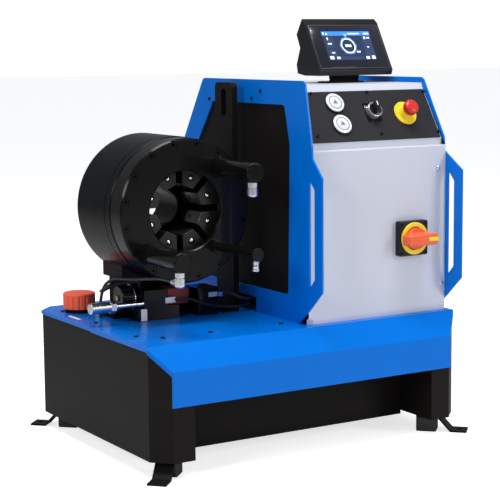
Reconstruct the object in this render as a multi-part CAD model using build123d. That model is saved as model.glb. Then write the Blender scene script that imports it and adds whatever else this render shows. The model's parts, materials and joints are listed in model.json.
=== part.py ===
from build123d import *
import math
import os

# Hose crimping machine, millimetres, +Z up, front (operator) side towards -Y.
# Origin: floor level, centre of the four bolt-down holes of the floor tabs.

os.makedirs("parts", exist_ok=True)

# ---------------------------------------------------------------- driving sizes
# base cabinet
base_width = 686.0
base_depth = 524.0
base_top = 240.0            # top of the cover above the floor
base_underside = 32.0       # underside of the base above the floor
corner_cut = 34.0           # plan chamfer of the four vertical corners
cover_sheet = 2.0
cover_lip = 7.0
slope_run = 36.0            # sloped front of the cover, plan length
slope_drop = 43.0           # sloped front of the cover, height
apron_height = 64.0         # vertical front of the cover below the slope
side_sheet = 2.5
leg_face = 44.0             # width of the front leg faces
recess_depth = 105.0        # depth of the open recess under the apron
recess_panel_bottom = 24.0
rear_return = 24.0
tray_sheet = 3.0
fit_gap = 0.3               # gap between neighbouring covers and sheets

# floor fixing
tab_hole_x = 338.0          # half spacing of the bolt-down holes
tab_hole_y = 256.0
tab_hole_r = 5.5
tab_width = 36.0
tab_sheet = 4.0
tab_foot = 32.0             # flat length of a tab on the floor
tab_rise = 26.0             # plan length of its sloped web
tab_root_gap = 2.0          # bend to the foot pad under the tab's root
foot_pad_size = 40.0

# crimping head
head_x = -178.0
head_z = 457.0
face_y = -80.0              # front face of the head
plate_depth = 43.0          # front plate, face to seam
housing_depth = 144.0       # housing, seam to rear face
housing_r = 138.5
plate_r = 137.0
opening_r = 76.0
lip_depth = 15.0            # thickness of the front plate's inner lip
bore_r = 118.0              # bore that the pressure ring slides in
rear_wall = 17.0
passage_r = 34.5            # hose passage through the guide sleeve
sleeve_wall = 4.5
running_clearance = 0.05
face_clearance = 0.2        # gap between sliding flat faces
wedge_clearance = 0.25      # gap between a die's back and the wedge face

die_count = 8
die_angle = 360.0 / die_count
die_length = 80.0
die_back_r = 100.0          # outer end of a die's back at its front face, dies open
wedge_slope = 0.5           # radial closing per unit of ring travel
ring_travel = 32.0
die_seat_r = 46.0           # flat seat between master die and die segment
segment_r = 28.0            # mid-face radius of the die segments, dies open
segment_length = 70.0
crimp_r = 12.4              # hollow of the die segments
sector_gap = 0.8            # gap left between closed dies
die_pin_r = 3.5
die_pin_at = 64.0
die_pin_out = 1.6
ring_front_gap = 36.8       # die front face to ring front, dies open
ring_length = 112.0
ring_web = 35.0             # solid rear web of the ring
housing_groove_at = 21.0    # groove behind the seam

bolt_count = 16
bolt_circle_r = 128.0
bolt_shank_r = 4.0
bolt_head_r = 6.5
bolt_head_h = 8.0
bolt_socket_r = 3.2
bolt_grip = 22.0            # thread length in the housing
cylinder_angles = (45.0, 225.0)
return_r = 109.0            # pitch radius of the return rods
rod_r = 4.0
return_piston_r = 11.95
return_bore_r = 12.0
return_tube_r = 17.5
return_cap_r = 19.0
return_cap_length = 30.0
return_reach = 126.0
return_piston_at = 62.0     # piston, dies open, ahead of the head's face
return_flange_r = 21.0
return_flange_t = 9.0
port_r = 5.0
port_inset = 14.0           # ports, back from the cylinders' ends

sensor_x = 63.0             # position sensor, from the head axis
sensor_z = -70.0
sensor_tube_r = 9.0
sensor_cap_r = 12.5
sensor_reach = 155.0

# head saddle and lifting bar
saddle_width = 174.0
saddle_y = 60.0             # front of the saddle's foot
saddle_depth = 42.0
saddle_foot_width = 148.0
saddle_plate_t = 22.0
saddle_neck_z = 322.0
saddle_base_t = 12.0
saddle_base_margin = 14.0
lift_bar_x = -22.0
lift_bar_t = 12.0
lift_bar_front = 0.0
lift_bar_width = 78.0
lift_bar_top = 692.0
lift_slot_width = 20.0
lift_slot_height = 60.0
lift_slot_drop = 12.0

# valve group under the head
manifold_x = -240.0
manifold_front = 0.0
manifold_width = 89.0
manifold_depth = 50.0
manifold_height = 26.0
valve_height = 34.0
valve_overhang = 6.0
valve_depth = 56.0
first_valve_width = 51.0
coil_width = 50.0
coil_depth = 44.0
second_valve_x = -112.0
second_valve_width = 44.0
second_valve_height = 54.0
knob_r = 24.0
knob_length = 25.0
knob_gap = 13.0
knob_washer = 2.7
lever_length = 81.0
lever_width = 14.0
lever_t = 6.0
lever_pin_r = 5.0
coupling_r = 10.5
coupling_length = 42.0

# tower
tower_left = 5.0            # outer face of the left plate
tower_right = 337.0         # outer face of the right plate
plate_sheet = 4.0
tower_top = 698.0
tower_rear = 262.0
rear_top_cut_y = 91.0       # cut-back of the left plate's top rear corner
rear_top_cut_z = 138.0
left_top_front = -206.0
left_mid_front = -228.0
right_top_front = -136.0
right_mid_front = -205.0
knee_z = 556.0              # where the front edge flares into the handle
handle_front = -262.0
handle_top = 521.0
handle_bottom = 309.0
handle_root_front = -216.0
handle_root_z = 267.0
plate_foot_front = -184.0
slot_front = -238.0
slot_back = -220.0
slot_trim = 19.0            # height of the slot's sloped ends
window_front = -148.0
window_back = 134.0
window_bottom = 290.0
window_top = 652.0
window_corner = 10.0
cable_gate_front = -30.0
cable_gate_back = 110.0
cable_gate_height = 30.0
bulkhead_x = 48.0
bulkhead_t = 14.0

# cabinet between the plates
cabinet_front = -212.0
cabinet_bottom = 251.0
cabinet_sheet = 2.0
cabinet_shoulder = 553.0
lip_front = -199.0
lip_z = 566.0
panel_foot_z = 580.0
panel_head_y = -139.5
panel_head_z = 674.0
cabinet_top = 687.0
rim_run = 5.0
plinth_front = -219.0
control_panel_t = 3.0
control_panel_edge = 4.0

# controls, placed by their distance down the sloping panel from its top edge
button_x = 104.5
button_down = (28.0, 75.0)
button_r = 19.5
button_height = 3.0
button_bezel_gap = 0.3
button_travel = 2.5
button_stem_r = 8.0
button_stem = 18.0
selector_x = 186.0
selector_down = 50.0
selector_r = 15.0
selector_knob_r = 12.0
selector_knob_height = 16.0
estop_x = 263.0
estop_down = 55.0
estop_base_r = 25.0
estop_cone_r = 17.0
estop_base_height = 13.0
estop_head_r = 15.0
estop_head_height = 13.0
estop_travel = 5.0
estop_stem_r = 7.0

# main switch
switch_x = 245.0
switch_z = 390.0
switch_size = 68.0
switch_plate_t = 15.0
switch_ring_r = 27.0
switch_handle_length = 60.0
switch_handle_width = 21.0
switch_handle_height = 24.0

# display
display_x = 235.0
display_width = 178.0
display_depth_y = 54.0
display_front_y = -50.0
display_bottom = 702.0
display_height = 114.0
screen_width = 120.0
screen_height = 75.0
screen_t = 2.5
arm_width = 64.0
knuckle_r = 8.0             # radius of the tilt hinge's barrel

# filler
filler_x = -285.0
filler_y = 172.0
filler_cap_r = 32.0
filler_cap_height = 31.0
filler_neck_r = 28.0
filler_neck_height = 8.0
filler_bore_r = 21.0
flute_count = 16
dipstick_r = 3.0
dipstick_length = 120.0

# drive inside the base
motor_r = 72.0
motor_length = 190.0
motor_left = 70.0
motor_y = 40.0
motor_axis_z = 130.0
bell_length = 62.0
bell_r = 62.0
bell_wall = 8.0
shaft_r = 12.0
hub_r = 28.0
pump_size = 86.0
pump_length = 84.0
pump_shaft_r = 8.0
tank_left = -318.0
tank_right = -96.0
tank_front = -140.0
tank_back = 222.0
tank_wall = 3.0
tank_gap = 14.0

# ---------------------------------------------------------------- derived sizes
half_w = base_width / 2
half_d = base_depth / 2
slope_foot = base_top - slope_drop
apron_bottom = slope_foot - apron_height
panel_inset = cover_sheet + fit_gap
seam_y = face_y + plate_depth
housing_rear = seam_y + housing_depth
lip_back = face_y + lip_depth
die_front = lip_back + face_clearance
die_rear = die_front + die_length
ring_front = die_front + ring_front_gap
ring_rear = ring_front + ring_length
ring_cavity_end = ring_rear - ring_web
die_travel = ring_travel * wedge_slope
sleeve_r = passage_r + sleeve_wall
sleeve_front = die_rear + 2.0
cabinet_left = tower_left + plate_sheet + fit_gap
cabinet_right = tower_right - plate_sheet - fit_gap
panel_foot_y = lip_front
panel_run = panel_foot_y - panel_head_y
panel_fall = panel_foot_z - panel_head_z
panel_length = math.hypot(panel_run, panel_fall)
valve_foot = base_top + manifold_height
valve_top = valve_foot + valve_height
valve_x = manifold_x + 10
valve_front = manifold_front - valve_overhang
coil_end = valve_x + first_valve_width + coil_width
coil_y = valve_front + 9 + coil_depth / 2
coil_z = valve_foot + valve_height / 2
knob_end = valve_x - knob_gap
knob_y = valve_front + 40
knob_z = valve_foot + 18.5
lever_x = valve_x + 10
lever_y = valve_front + 48
lever_z = valve_top + 9.5


# ---------------------------------------------------------------- small helpers
def box_between(x0, x1, y0, y1, z0, z1):
    """Box given by its limits on each axis."""
    size = Box(x1 - x0, y1 - y0, z1 - z0)
    return Pos((x0 + x1) / 2, (y0 + y1) / 2, (z0 + z1) / 2) * size


def rod_x(radius, x0, x1, y, z):
    """Cylinder along X."""
    return Pos((x0 + x1) / 2, y, z) * Rot(0, 90, 0) * Cylinder(radius, x1 - x0)


def rod_y(radius, x, y0, y1, z):
    """Cylinder along Y."""
    return Pos(x, (y0 + y1) / 2, z) * Rot(90, 0, 0) * Cylinder(radius, y1 - y0)


def rod_z(radius, x, y, z0, z1):
    """Cylinder along Z."""
    return Pos(x, y, (z0 + z1) / 2) * Cylinder(radius, z1 - z0)


def side_profile(points, x0, x1):
    """Closed outline of (y, z) points, extruded from x0 to x1."""
    outline = Plane.YZ.offset(x0) * make_face(Polyline(*points, close=True))
    return extrude(outline, amount=x1 - x0)


def plan_profile(points, z0, z1):
    """Closed outline of (x, y) points, extruded from z0 to z1."""
    outline = Pos(0, 0, z0) * make_face(Polyline(*points, close=True))
    return extrude(outline, amount=z1 - z0)


def base_plan(inset):
    """Plan outline of the base, moved in by inset on every side."""
    w = half_w - inset
    d = half_d - inset
    c = corner_cut - inset * (2 - math.sqrt(2))
    return [
        (-w + c, -d), (w - c, -d), (w, -d + c), (w, d - c),
        (w - c, d), (-w + c, d), (-w, d - c), (-w, -d + c),
    ]


def cover_section(inset):
    """Side outline (y, z) of the space under the cover, moved in by inset."""
    d = half_d - inset
    top = base_top - inset
    bend = math.atan2(slope_drop, slope_run)
    y_bend = -half_d + slope_run + inset * math.tan(bend / 2)
    z_bend = slope_foot - inset * math.tan((math.pi / 2 - bend) / 2)
    return [
        (-d, apron_bottom - 200), (-d, z_bend), (y_bend, top),
        (d, top), (d, apron_bottom - 200),
    ]


def head_pattern(shape, angle):
    """Turns a shape built towards +X about the head axis to an angle from +X to +Z."""
    return Pos(head_x, 0, head_z) * Rot(0, -angle, 0) * shape


def head_point(radius, angle):
    """X and Z of a point at a radius and angle about the head axis."""
    turn = math.radians(angle)
    return head_x + radius * math.cos(turn), head_z + radius * math.sin(turn)


def bolt_angle(step):
    return 360.0 / bolt_count * (step + 0.5)


panel_plane = Plane(
    origin=(0, panel_head_y, panel_head_z),
    x_dir=(1, 0, 0),
    z_dir=(0, panel_fall / panel_length, -panel_run / panel_length),
)


def on_panel(x, down, height=0.0):
    """Place on the sloping panel, z out of the panel, by x, distance down and height."""
    return panel_plane * Pos(x, -down, height)


# ---------------------------------------------------------------- base cabinet
def top_cover():
    outer = side_profile(cover_section(0), -half_w, half_w)
    inner = side_profile(cover_section(cover_sheet), -half_w - 1, half_w + 1)
    sheet = (outer - inner) & plan_profile(base_plan(0), apron_bottom, base_top)
    front_limit = -half_d + cover_sheet
    sheet -= box_between(-half_w, half_w, 0, half_d + 1, apron_bottom - 1, base_top - cover_lip)
    ring = plan_profile(base_plan(0), apron_bottom, base_top)
    ring -= plan_profile(base_plan(cover_sheet), apron_bottom - 1, base_top + 1)
    lowered = Pos(0, 0, -cover_lip) * side_profile(cover_section(cover_sheet), -half_w - 1, half_w + 1)
    skirt = (ring & outer) - lowered
    skirt -= box_between(-half_w, half_w, 0, half_d + 1, apron_bottom - 1, base_top - cover_lip)
    skirt -= box_between(-half_w, half_w, -half_d - 1, front_limit, apron_bottom, base_top)
    cover = sheet + skirt
    cover -= rod_z(filler_bore_r + 4 + fit_gap, filler_x, filler_y, base_top - 20, base_top + 20)
    cover -= box_between(tower_left + 65, tower_right - 60, -60, 120, base_top - 20, base_top + 20)
    for x, y in cover_screw_places():
        cover -= rod_z(screw_shank_r + 0.3, x, y, base_top - 20, base_top + 20)
    return cover


screw_shank_r = 2.5
screw_head_r = 4.5
screw_head_h = 2.2


def cover_screw_places():
    side_x = half_w - 31
    rows = [(-side_x, y) for y in (192, 40, -127)]
    rows += [(side_x, y) for y in (230, -127)]
    rows += [(x, -167) for x in (-278, -178, -24)]
    return rows


def cover_screws():
    screws = []
    for x, y in cover_screw_places():
        head = rod_z(screw_head_r, x, y, base_top, base_top + screw_head_h)
        head = fillet(head.edges().group_by(Axis.Z)[-1], 1.2)
        shank = rod_z(screw_shank_r, x, y, base_top - 10, base_top)
        screws.append(head + shank)
    return Compound(children=screws)


def side_wall_ring():
    ring = plan_profile(base_plan(panel_inset), base_underside, base_top)
    ring -= plan_profile(base_plan(panel_inset + side_sheet), base_underside - 1, base_top + 1)
    under_cover = side_profile(cover_section(cover_sheet), -half_w, half_w)
    return ring & under_cover


def side_panel(side):
    ring = side_wall_ring()
    leg_inner = half_w - corner_cut - leg_face
    rear_inner = half_w - corner_cut - rear_return
    if side < 0:
        ring &= box_between(-half_w, 0, -half_d, half_d, 0, base_top)
    else:
        ring &= box_between(0, half_w, -half_d, half_d, 0, base_top)
    ring -= box_between(-leg_inner, leg_inner, -half_d - 1, 0, 0, base_top)
    ring -= box_between(-rear_inner, rear_inner, 0, half_d + 1, 0, base_top)
    cheek_back = -half_d + recess_depth
    cheek = box_between(
        leg_inner, leg_inner + side_sheet,
        -half_d + panel_inset, cheek_back, base_underside, base_top,
    )
    cheek &= side_profile(cover_section(cover_sheet), -half_w, half_w)
    if side < 0:
        cheek = mirror(cheek, about=Plane.YZ)
    return ring + cheek


def rear_panel():
    reach = half_w - corner_cut - rear_return - fit_gap
    y_back = half_d - panel_inset
    z_top = base_top - cover_sheet - fit_gap
    sheet = box_between(-reach, reach, y_back - side_sheet, y_back, base_underside, z_top)
    slots = [
        Pos(x, y_back, z) * Box(70, 20, 4)
        for x in (60, 150, 240)
        for z in (90, 106, 122, 138, 154, 170)
    ]
    for slot in slots:
        sheet -= slot
    return sheet


def base_tray():
    inset = panel_inset + side_sheet + fit_gap
    front = -half_d + recess_depth
    floor = plan_profile(base_plan(inset), base_underside, base_underside + tray_sheet)
    leg_inner = half_w - corner_cut - leg_face
    floor -= box_between(-leg_inner - fit_gap, leg_inner + fit_gap, -half_d, front, 0, base_top)
    cheek_outer = leg_inner + side_sheet + fit_gap
    for side in (-1, 1):
        x0 = min(side * leg_inner, side * cheek_outer) - fit_gap * (side < 0)
        floor -= box_between(x0 - fit_gap, x0 + side_sheet + 3 * fit_gap, -half_d, front + fit_gap, 0, base_top)
    y_panel = front + fit_gap
    wall = box_between(
        -leg_inner - side_sheet, leg_inner + side_sheet,
        y_panel, y_panel + tray_sheet, recess_panel_bottom, base_top - cover_sheet - fit_gap,
    )
    return floor + wall


# ---------------------------------------------------------------- floor fixing
tab_web = tab_foot / 2
tab_root = tab_web + tab_rise
pad_start = tab_root + tab_root_gap


def at_corners(shape):
    """Four copies, each turned to run out of its corner at 45 degrees over its bolt hole."""
    copies = []
    for sx, sy in ((1, 1), (-1, 1), (-1, -1), (1, -1)):
        angle = math.degrees(math.atan2(sy, sx))
        copies.append(Pos(sx * tab_hole_x, sy * tab_hole_y, 0) * Rot(0, 0, angle) * shape)
    return Compound(children=copies)


def floor_tabs():
    """Bent strips that run from the foot pads out to a bolt hole each."""
    top = base_underside
    low = top - tab_sheet
    end = pad_start + foot_pad_size
    outline = Polyline(
        (tab_web, 0), (tab_web, tab_sheet), (-tab_web + 1.5, tab_sheet), (-tab_root + 1.5, top),
        (-end, top), (-end, low), (-tab_root, low), (-tab_web, 0), close=True,
    )
    tab = extrude(Plane.XZ * make_face(outline), amount=tab_width / 2, both=True)
    tab -= rod_z(tab_hole_r, 0, 0, -1, tab_sheet + 1)
    return at_corners(tab)


def foot_pads():
    height = base_underside - tab_sheet
    centre = pad_start + foot_pad_size / 2
    pad = Pos(-centre, 0, height / 2) * Box(foot_pad_size, foot_pad_size, height)
    pad = chamfer(pad.edges().filter_by(Axis.Z), 3)
    return at_corners(pad)


# ---------------------------------------------------------------- crimping head
def ring_of(radius, inner, y0, y1):
    return rod_y(radius, head_x, y0, y1, head_z) - rod_y(inner, head_x, y0 - 1, y1 + 1, head_z)


def front_plate():
    body = Pos(head_x, face_y + plate_depth / 2, head_z) * Rot(90, 0, 0) * Cylinder(plate_r, plate_depth)
    body = chamfer(body.edges().group_by(Axis.Y)[0], 3.5)
    body -= rod_y(opening_r, head_x, face_y - 1, lip_back + 1, head_z)
    body -= rod_y(bore_r, head_x, lip_back, seam_y + 1, head_z)
    rim = body.edges().filter_by(GeomType.CIRCLE).filter_by(lambda e: abs(e.radius - opening_r) < 0.01)
    body = chamfer(rim.sort_by(Axis.Y)[0], 2.5)
    for angle in cylinder_angles:
        x, z = head_point(return_r, angle)
        body -= rod_y(rod_r + running_clearance, x, face_y - 1, lip_back + 1, z)
    for step in range(bolt_count):
        x, z = head_point(bolt_circle_r, bolt_angle(step))
        body -= rod_y(bolt_shank_r + 0.3, x, face_y - 1, seam_y + 1, z)
        body -= rod_y(bolt_head_r + 0.8, x, face_y - 1, face_y + bolt_head_h + 1, z)
    return body


def head_housing():
    outer = rod_y(housing_r, head_x, seam_y, housing_rear, head_z)
    outer = chamfer(outer.edges().group_by(Axis.Y)[-1], 5)
    outer = chamfer(outer.edges().group_by(Axis.Y)[0], 1.5)
    groove_y = seam_y + housing_groove_at
    outer -= ring_of(housing_r + 1, housing_r - 1.0, groove_y, groove_y + 2)
    body = outer - rod_y(bore_r, head_x, seam_y - 1, housing_rear - rear_wall, head_z)
    body += rod_y(sleeve_r, head_x, sleeve_front, housing_rear - 1, head_z)
    body -= rod_y(passage_r, head_x, sleeve_front - 1, housing_rear + 1, head_z)
    rear_rim = body.edges().filter_by(GeomType.CIRCLE).filter_by(lambda e: abs(e.radius - passage_r) < 0.01)
    body = chamfer(rear_rim.sort_by(Axis.Y)[-1], 4)
    for step in range(bolt_count):
        x, z = head_point(bolt_circle_r, bolt_angle(step))
        body -= rod_y(bolt_shank_r, x, seam_y - 1, seam_y + bolt_grip + 2, z)
    return body


def front_bolts():
    bolts = []
    for step in range(bolt_count):
        x, z = head_point(bolt_circle_r, bolt_angle(step))
        seat = face_y + bolt_head_h + 1
        head = rod_y(bolt_head_r, x, seat - bolt_head_h, seat, z)
        socket = Pos(x, seat - bolt_head_h, z) * Rot(90, 0, 0) * extrude(
            RegularPolygon(bolt_socket_r, 6), amount=4, both=True
        )
        shank = rod_y(bolt_shank_r - 0.05, x, seat, seam_y + bolt_grip, z)
        bolts.append(head - socket + shank)
    return Compound(children=bolts)


def wedge_octagon(y, clearance):
    """Octagon that the dies' backs lie in at a station along the head axis."""
    apothem = die_back_r + clearance - wedge_slope * (y - die_front)
    station = Plane(origin=(head_x, y, head_z), x_dir=(1, 0, 0), z_dir=(0, 1, 0))
    return station * RegularPolygon(apothem, die_count, major_radius=False, rotation=0)


def pressure_ring():
    body = rod_y(bore_r - running_clearance, head_x, ring_front, ring_rear, head_z)
    cavity = loft([
        wedge_octagon(ring_front - 2, wedge_clearance),
        wedge_octagon(ring_cavity_end, wedge_clearance),
    ])
    body -= cavity
    body -= rod_y(sleeve_r + running_clearance, head_x, ring_cavity_end - 1, ring_rear + 1, head_z)
    return body


def return_rods():
    rods = []
    for angle in cylinder_angles:
        x, z = head_point(return_r, angle)
        piston_y = face_y - return_piston_at
        rod = rod_y(rod_r, x, piston_y, ring_front, z)
        rod += rod_y(return_piston_r, x, piston_y - 12, piston_y, z)
        rods.append(rod)
    return Compound(children=rods)


def return_cylinders():
    tubes = []
    for angle in cylinder_angles:
        x, z = head_point(return_r, angle)
        end = face_y - return_reach
        cap = rod_y(return_cap_r, x, end, end + return_cap_length, z)
        cap = fillet(cap.edges().group_by(Axis.Y)[0], 4)
        tube = cap + rod_y(return_tube_r, x, end + return_cap_length, face_y, z)
        tube += rod_y(return_flange_r, x, face_y - return_flange_t, face_y, z)
        tube -= rod_y(return_bore_r, x, end + 12, face_y + 1, z)
        tube -= rod_z(port_r, x, end + port_inset, z - return_cap_r - 1, z - return_bore_r + 1)
        tubes.append(tube)
    return Compound(children=tubes)


def master_die(angle):
    """Master die with its wedge back, and the die segment clamped in front of it."""
    section = [
        (die_seat_r, die_front), (die_back_r, die_front),
        (die_back_r - wedge_slope * die_length, die_rear), (die_seat_r, die_rear),
    ]
    blank = extrude(make_face(Polyline(*section, close=True)), amount=80, both=True)
    master = blank & die_sector(die_front - 1, die_rear + 1)
    master -= Pos(die_back_r, die_front, 0) * Rot(0, 0, 45) * Box(7, 7, 200)
    pin = Pos(die_pin_at, die_front - die_pin_out / 2, 0) * Rot(90, 0, 0) * Cylinder(die_pin_r, die_pin_out)
    master += pin
    middle = (die_front + die_rear) / 2
    half = segment_length / 2
    segment = Pos((segment_r - 6 + die_seat_r) / 2, middle, 0) * Box(
        die_seat_r - segment_r + 6, segment_length, 80
    )
    segment &= die_sector(middle - half - 1, middle + half + 1)
    segment -= Pos(segment_r - crimp_r, middle, 0) * Rot(90, 0, 0) * Cylinder(crimp_r, segment_length + 2)
    segment = keep_outside(segment, segment_r - 4)
    return [head_pattern(master, angle), head_pattern(segment, angle)]


def keep_outside(shape, radius):
    return shape & Pos(radius + 100, 0, 0) * Box(200, 400, 200)


def die_sector(y0, y1):
    """Wedge of space that one die keeps to, drawn with the dies open."""
    half_angle = math.radians(die_angle / 2)
    apex = die_travel + sector_gap / 2 / math.sin(half_angle)
    reach = 140.0
    spread = reach * math.tan(half_angle)
    outline = make_face(Polyline((apex, 0), (apex + reach, spread), (apex + reach, -spread), close=True))
    station = Plane(origin=(0, y0, 0), x_dir=(1, 0, 0), z_dir=(0, 1, 0))
    return extrude(station * outline, amount=y1 - y0)


def position_sensor():
    x = head_x + sensor_x
    z = head_z + sensor_z
    end = face_y - sensor_reach
    nut = Pos(x, face_y - 6, z) * Rot(90, 0, 0) * extrude(RegularPolygon(13, 6), amount=6, both=True)
    tube = rod_y(sensor_tube_r, x, end + 20, face_y - 12, z)
    cap = rod_y(sensor_cap_r, x, end, end + 20, z)
    cap = fillet(cap.edges().group_by(Axis.Y)[0], 2)
    return nut + tube + cap


# ---------------------------------------------------------------- saddle and lifting bar
def head_saddle():
    z_top = head_z - 60
    y0 = saddle_y
    y1 = saddle_y + saddle_depth
    block = box_between(
        head_x - saddle_width / 2, head_x + saddle_width / 2, y0 - 40, y1, saddle_neck_z, z_top
    )
    neck = box_between(
        head_x - saddle_foot_width / 2, head_x + saddle_foot_width / 2,
        y0, y1, base_top + saddle_base_t, saddle_neck_z,
    )
    foot = box_between(
        head_x - saddle_foot_width / 2 - saddle_base_margin,
        head_x + saddle_foot_width / 2 + saddle_base_margin,
        y0 - 6, y1 + saddle_base_margin, base_top, base_top + saddle_base_t,
    )
    saddle = block + neck + foot
    saddle -= rod_y(housing_r, head_x, -200, 300, head_z)
    return saddle


def lifting_bar():
    x0 = lift_bar_x - lift_bar_t / 2
    x1 = lift_bar_x + lift_bar_t / 2
    y0 = lift_bar_front
    y1 = lift_bar_front + lift_bar_width
    bar = box_between(x0, x1, y0, y1, base_top, lift_bar_top)
    bar = fillet(bar.edges().filter_by(Axis.X).group_by(Axis.Z)[-1], 10)
    slot_top = lift_bar_top - lift_slot_drop
    centre_y = (y0 + y1) / 2
    slot = Plane.YZ.offset(x0 - 1) * Pos(centre_y, slot_top - lift_slot_height / 2) * SlotOverall(
        lift_slot_height, lift_slot_width, rotation=90
    )
    bar -= extrude(slot, amount=lift_bar_t + 2)
    bar += box_between(x0 - 26, x0, y0, y1, base_top, base_top + 10)
    for y in (y0 + 16, y1 - 16):
        bar -= rod_z(5.5, x0 - 13, y, base_top - 1, base_top + 11)
    return bar


# ---------------------------------------------------------------- valve group
def manifold_block():
    z1 = base_top + manifold_height
    return box_between(
        manifold_x, manifold_x + manifold_width,
        manifold_front, manifold_front + manifold_depth, base_top, z1,
    )


def valve_blocks():
    """Pressure valve with the collar of its knob, and the second valve on its own base."""
    first = box_between(
        valve_x, valve_x + first_valve_width, valve_front, valve_front + valve_depth,
        valve_foot, valve_foot + valve_height,
    )
    first = chamfer(first.edges().filter_by(Axis.Z), 2)
    collar = rod_x(knob_r + 1.0, knob_end + 0.3, knob_end + knob_washer, knob_y, knob_z)
    first += fillet(collar.edges(), 0.8)
    first += rod_x(6.5, knob_end + knob_washer, valve_x, knob_y, knob_z)
    lever_seat = rod_z(lever_pin_r + 4, lever_x, lever_y, valve_top, lever_z - face_clearance)
    first += lever_seat
    first -= rod_z(lever_pin_r + running_clearance, lever_x, lever_y, valve_top - 14, valve_top + 20)
    second = box_between(
        second_valve_x, second_valve_x + second_valve_width,
        valve_front, valve_front + valve_depth, base_top, base_top + second_valve_height,
    )
    second = chamfer(second.edges().filter_by(Axis.Z), 2)
    armature = rod_x(10, coil_end, second_valve_x, coil_y, coil_z)
    return Compound(children=[first, second + armature])


def solenoid_coil():
    """Coil between the two valves, with the plug socket that the cable comes out of."""
    half = coil_depth / 2
    coil = box_between(
        valve_x + first_valve_width, coil_end, coil_y - half, coil_y + half,
        valve_foot, valve_foot + valve_height - 1,
    )
    coil = fillet(coil.edges().filter_by(Axis.X), 4)
    socket = box_between(
        valve_x + first_valve_width + 2, cable_start[0],
        coil_y - half - 9, coil_y - half + 1, cable_start[2] - 7, cable_start[2] + 7,
    )
    return coil + socket


def pressure_knob():
    knob = rod_x(knob_r, knob_end - knob_length, knob_end, knob_y, knob_z)
    knob = chamfer(knob.edges().group_by(Axis.X)[0], 2)
    for i in range(flute_count):
        turn = math.radians(360.0 / flute_count * i)
        y = knob_y + (knob_r + 1.2) * math.cos(turn)
        z = knob_z + (knob_r + 1.2) * math.sin(turn)
        knob -= rod_x(2.4, knob_end - knob_length - 1, knob_end - 5, y, z)
    return knob


def valve_lever():
    """Shut-off lever on an upright pin, cranked down to its tip."""
    top = lever_z + lever_t
    crank = lever_length * 0.62
    droop = 13.0
    outline = Polyline(
        (0, lever_z), (0, top), (-crank, top), (-lever_length + 4, top - droop),
        (-lever_length, top - droop - 4), (-lever_length + 2, lever_z - droop + 1),
        (-crank + 1, lever_z), close=True,
    )
    arm = extrude(Plane.XZ * make_face(outline), amount=lever_width / 2, both=True)
    hub = Pos(0, 0, lever_z + lever_t / 2) * Cylinder(lever_width / 2 + 1.5, lever_t)
    pin = Pos(0, 0, (valve_top - 12 + lever_z) / 2) * Cylinder(lever_pin_r, lever_z - valve_top + 12)
    return Pos(lever_x, lever_y, 0) * (arm + hub + pin)


def test_coupling():
    """Test port on the pressure valve's side, capped."""
    y = valve_front + 8
    z = valve_foot + 9
    tube = rod_x(5.5, valve_x - 62, valve_x, y, z)
    hexagon = Pos(valve_x - 66, y, z) * Rot(0, 90, 0) * extrude(RegularPolygon(13, 6), amount=5, both=True)
    cap = rod_x(coupling_r, valve_x - 71 - coupling_length, valve_x - 71, y, z)
    cap = fillet(cap.edges().group_by(Axis.X)[0], 2)
    return tube + hexagon + cap


# ---------------------------------------------------------------- tower plates
def handle_outline(top_front, mid_front):
    """Front outline (y, z) of a tower plate, from its top corner down to its foot."""
    return [
        (top_front, tower_top), (mid_front, knee_z + 26), (mid_front - 1.5, knee_z),
        (handle_front, handle_top), (handle_front, handle_bottom),
        (handle_root_front, handle_root_z), (plate_foot_front, base_top),
    ]


def handle_slot(x0, x1):
    return side_profile(
        [
            (slot_back, handle_top - 4), (slot_front, handle_top - 4 - slot_trim),
            (slot_front, handle_bottom + 2 + slot_trim), (slot_back, handle_bottom + 2),
        ],
        x0 - 1, x1 + 1,
    )


def tower_left_plate():
    x0 = tower_left
    x1 = tower_left + plate_sheet
    outline = handle_outline(left_top_front, left_mid_front)
    outline += [
        (tower_rear, base_top), (tower_rear, tower_top - rear_top_cut_z),
        (tower_rear - rear_top_cut_y, tower_top),
    ]
    plate = side_profile(outline, x0, x1)
    top_corners = plate.edges().filter_by(Axis.X).group_by(Axis.Z)[-1]
    plate = fillet(top_corners, 14)
    plate -= handle_slot(x0, x1)
    window = side_profile(
        [
            (window_front, window_bottom), (window_front, window_top),
            (window_back, window_top), (window_back, window_bottom),
        ],
        x0 - 1, x1 + 1,
    )
    plate -= fillet(window.edges().filter_by(Axis.X), window_corner)
    plate -= box_between(
        x0 - 1, x1 + 1, cable_gate_front, cable_gate_back, base_top - 1, base_top + cable_gate_height
    )
    return plate


def tower_right_plate():
    x0 = tower_right - plate_sheet
    outline = handle_outline(right_top_front, right_mid_front)
    outline += [(tower_rear, base_top), (tower_rear, tower_top)]
    plate = side_profile(outline, x0, tower_right)
    top_corners = plate.edges().filter_by(Axis.X).group_by(Axis.Z)[-1]
    plate = fillet(top_corners, 14)
    return plate - handle_slot(x0, tower_right)


# ---------------------------------------------------------------- cabinet
def cabinet_outline(inset):
    """Side outline (y, z) of the cabinet, moved in by inset."""
    i = inset
    lean = math.atan2(-panel_run, -panel_fall)
    over = i * (1 - math.sin(abs(lean)))
    return [
        (cabinet_front + i, cabinet_bottom - 20), (cabinet_front + i, cabinet_shoulder + i * 0.4),
        (lip_front + i, lip_z + i * 0.4), (lip_front + i, panel_foot_z - over),
        (panel_head_y + i * 1.1, panel_head_z - over * 0.2), (panel_head_y + rim_run + i, cabinet_top - i),
        (tower_rear - 3 - i * 0, cabinet_top - i), (tower_rear - 3, cabinet_bottom - 20),
    ]


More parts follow.
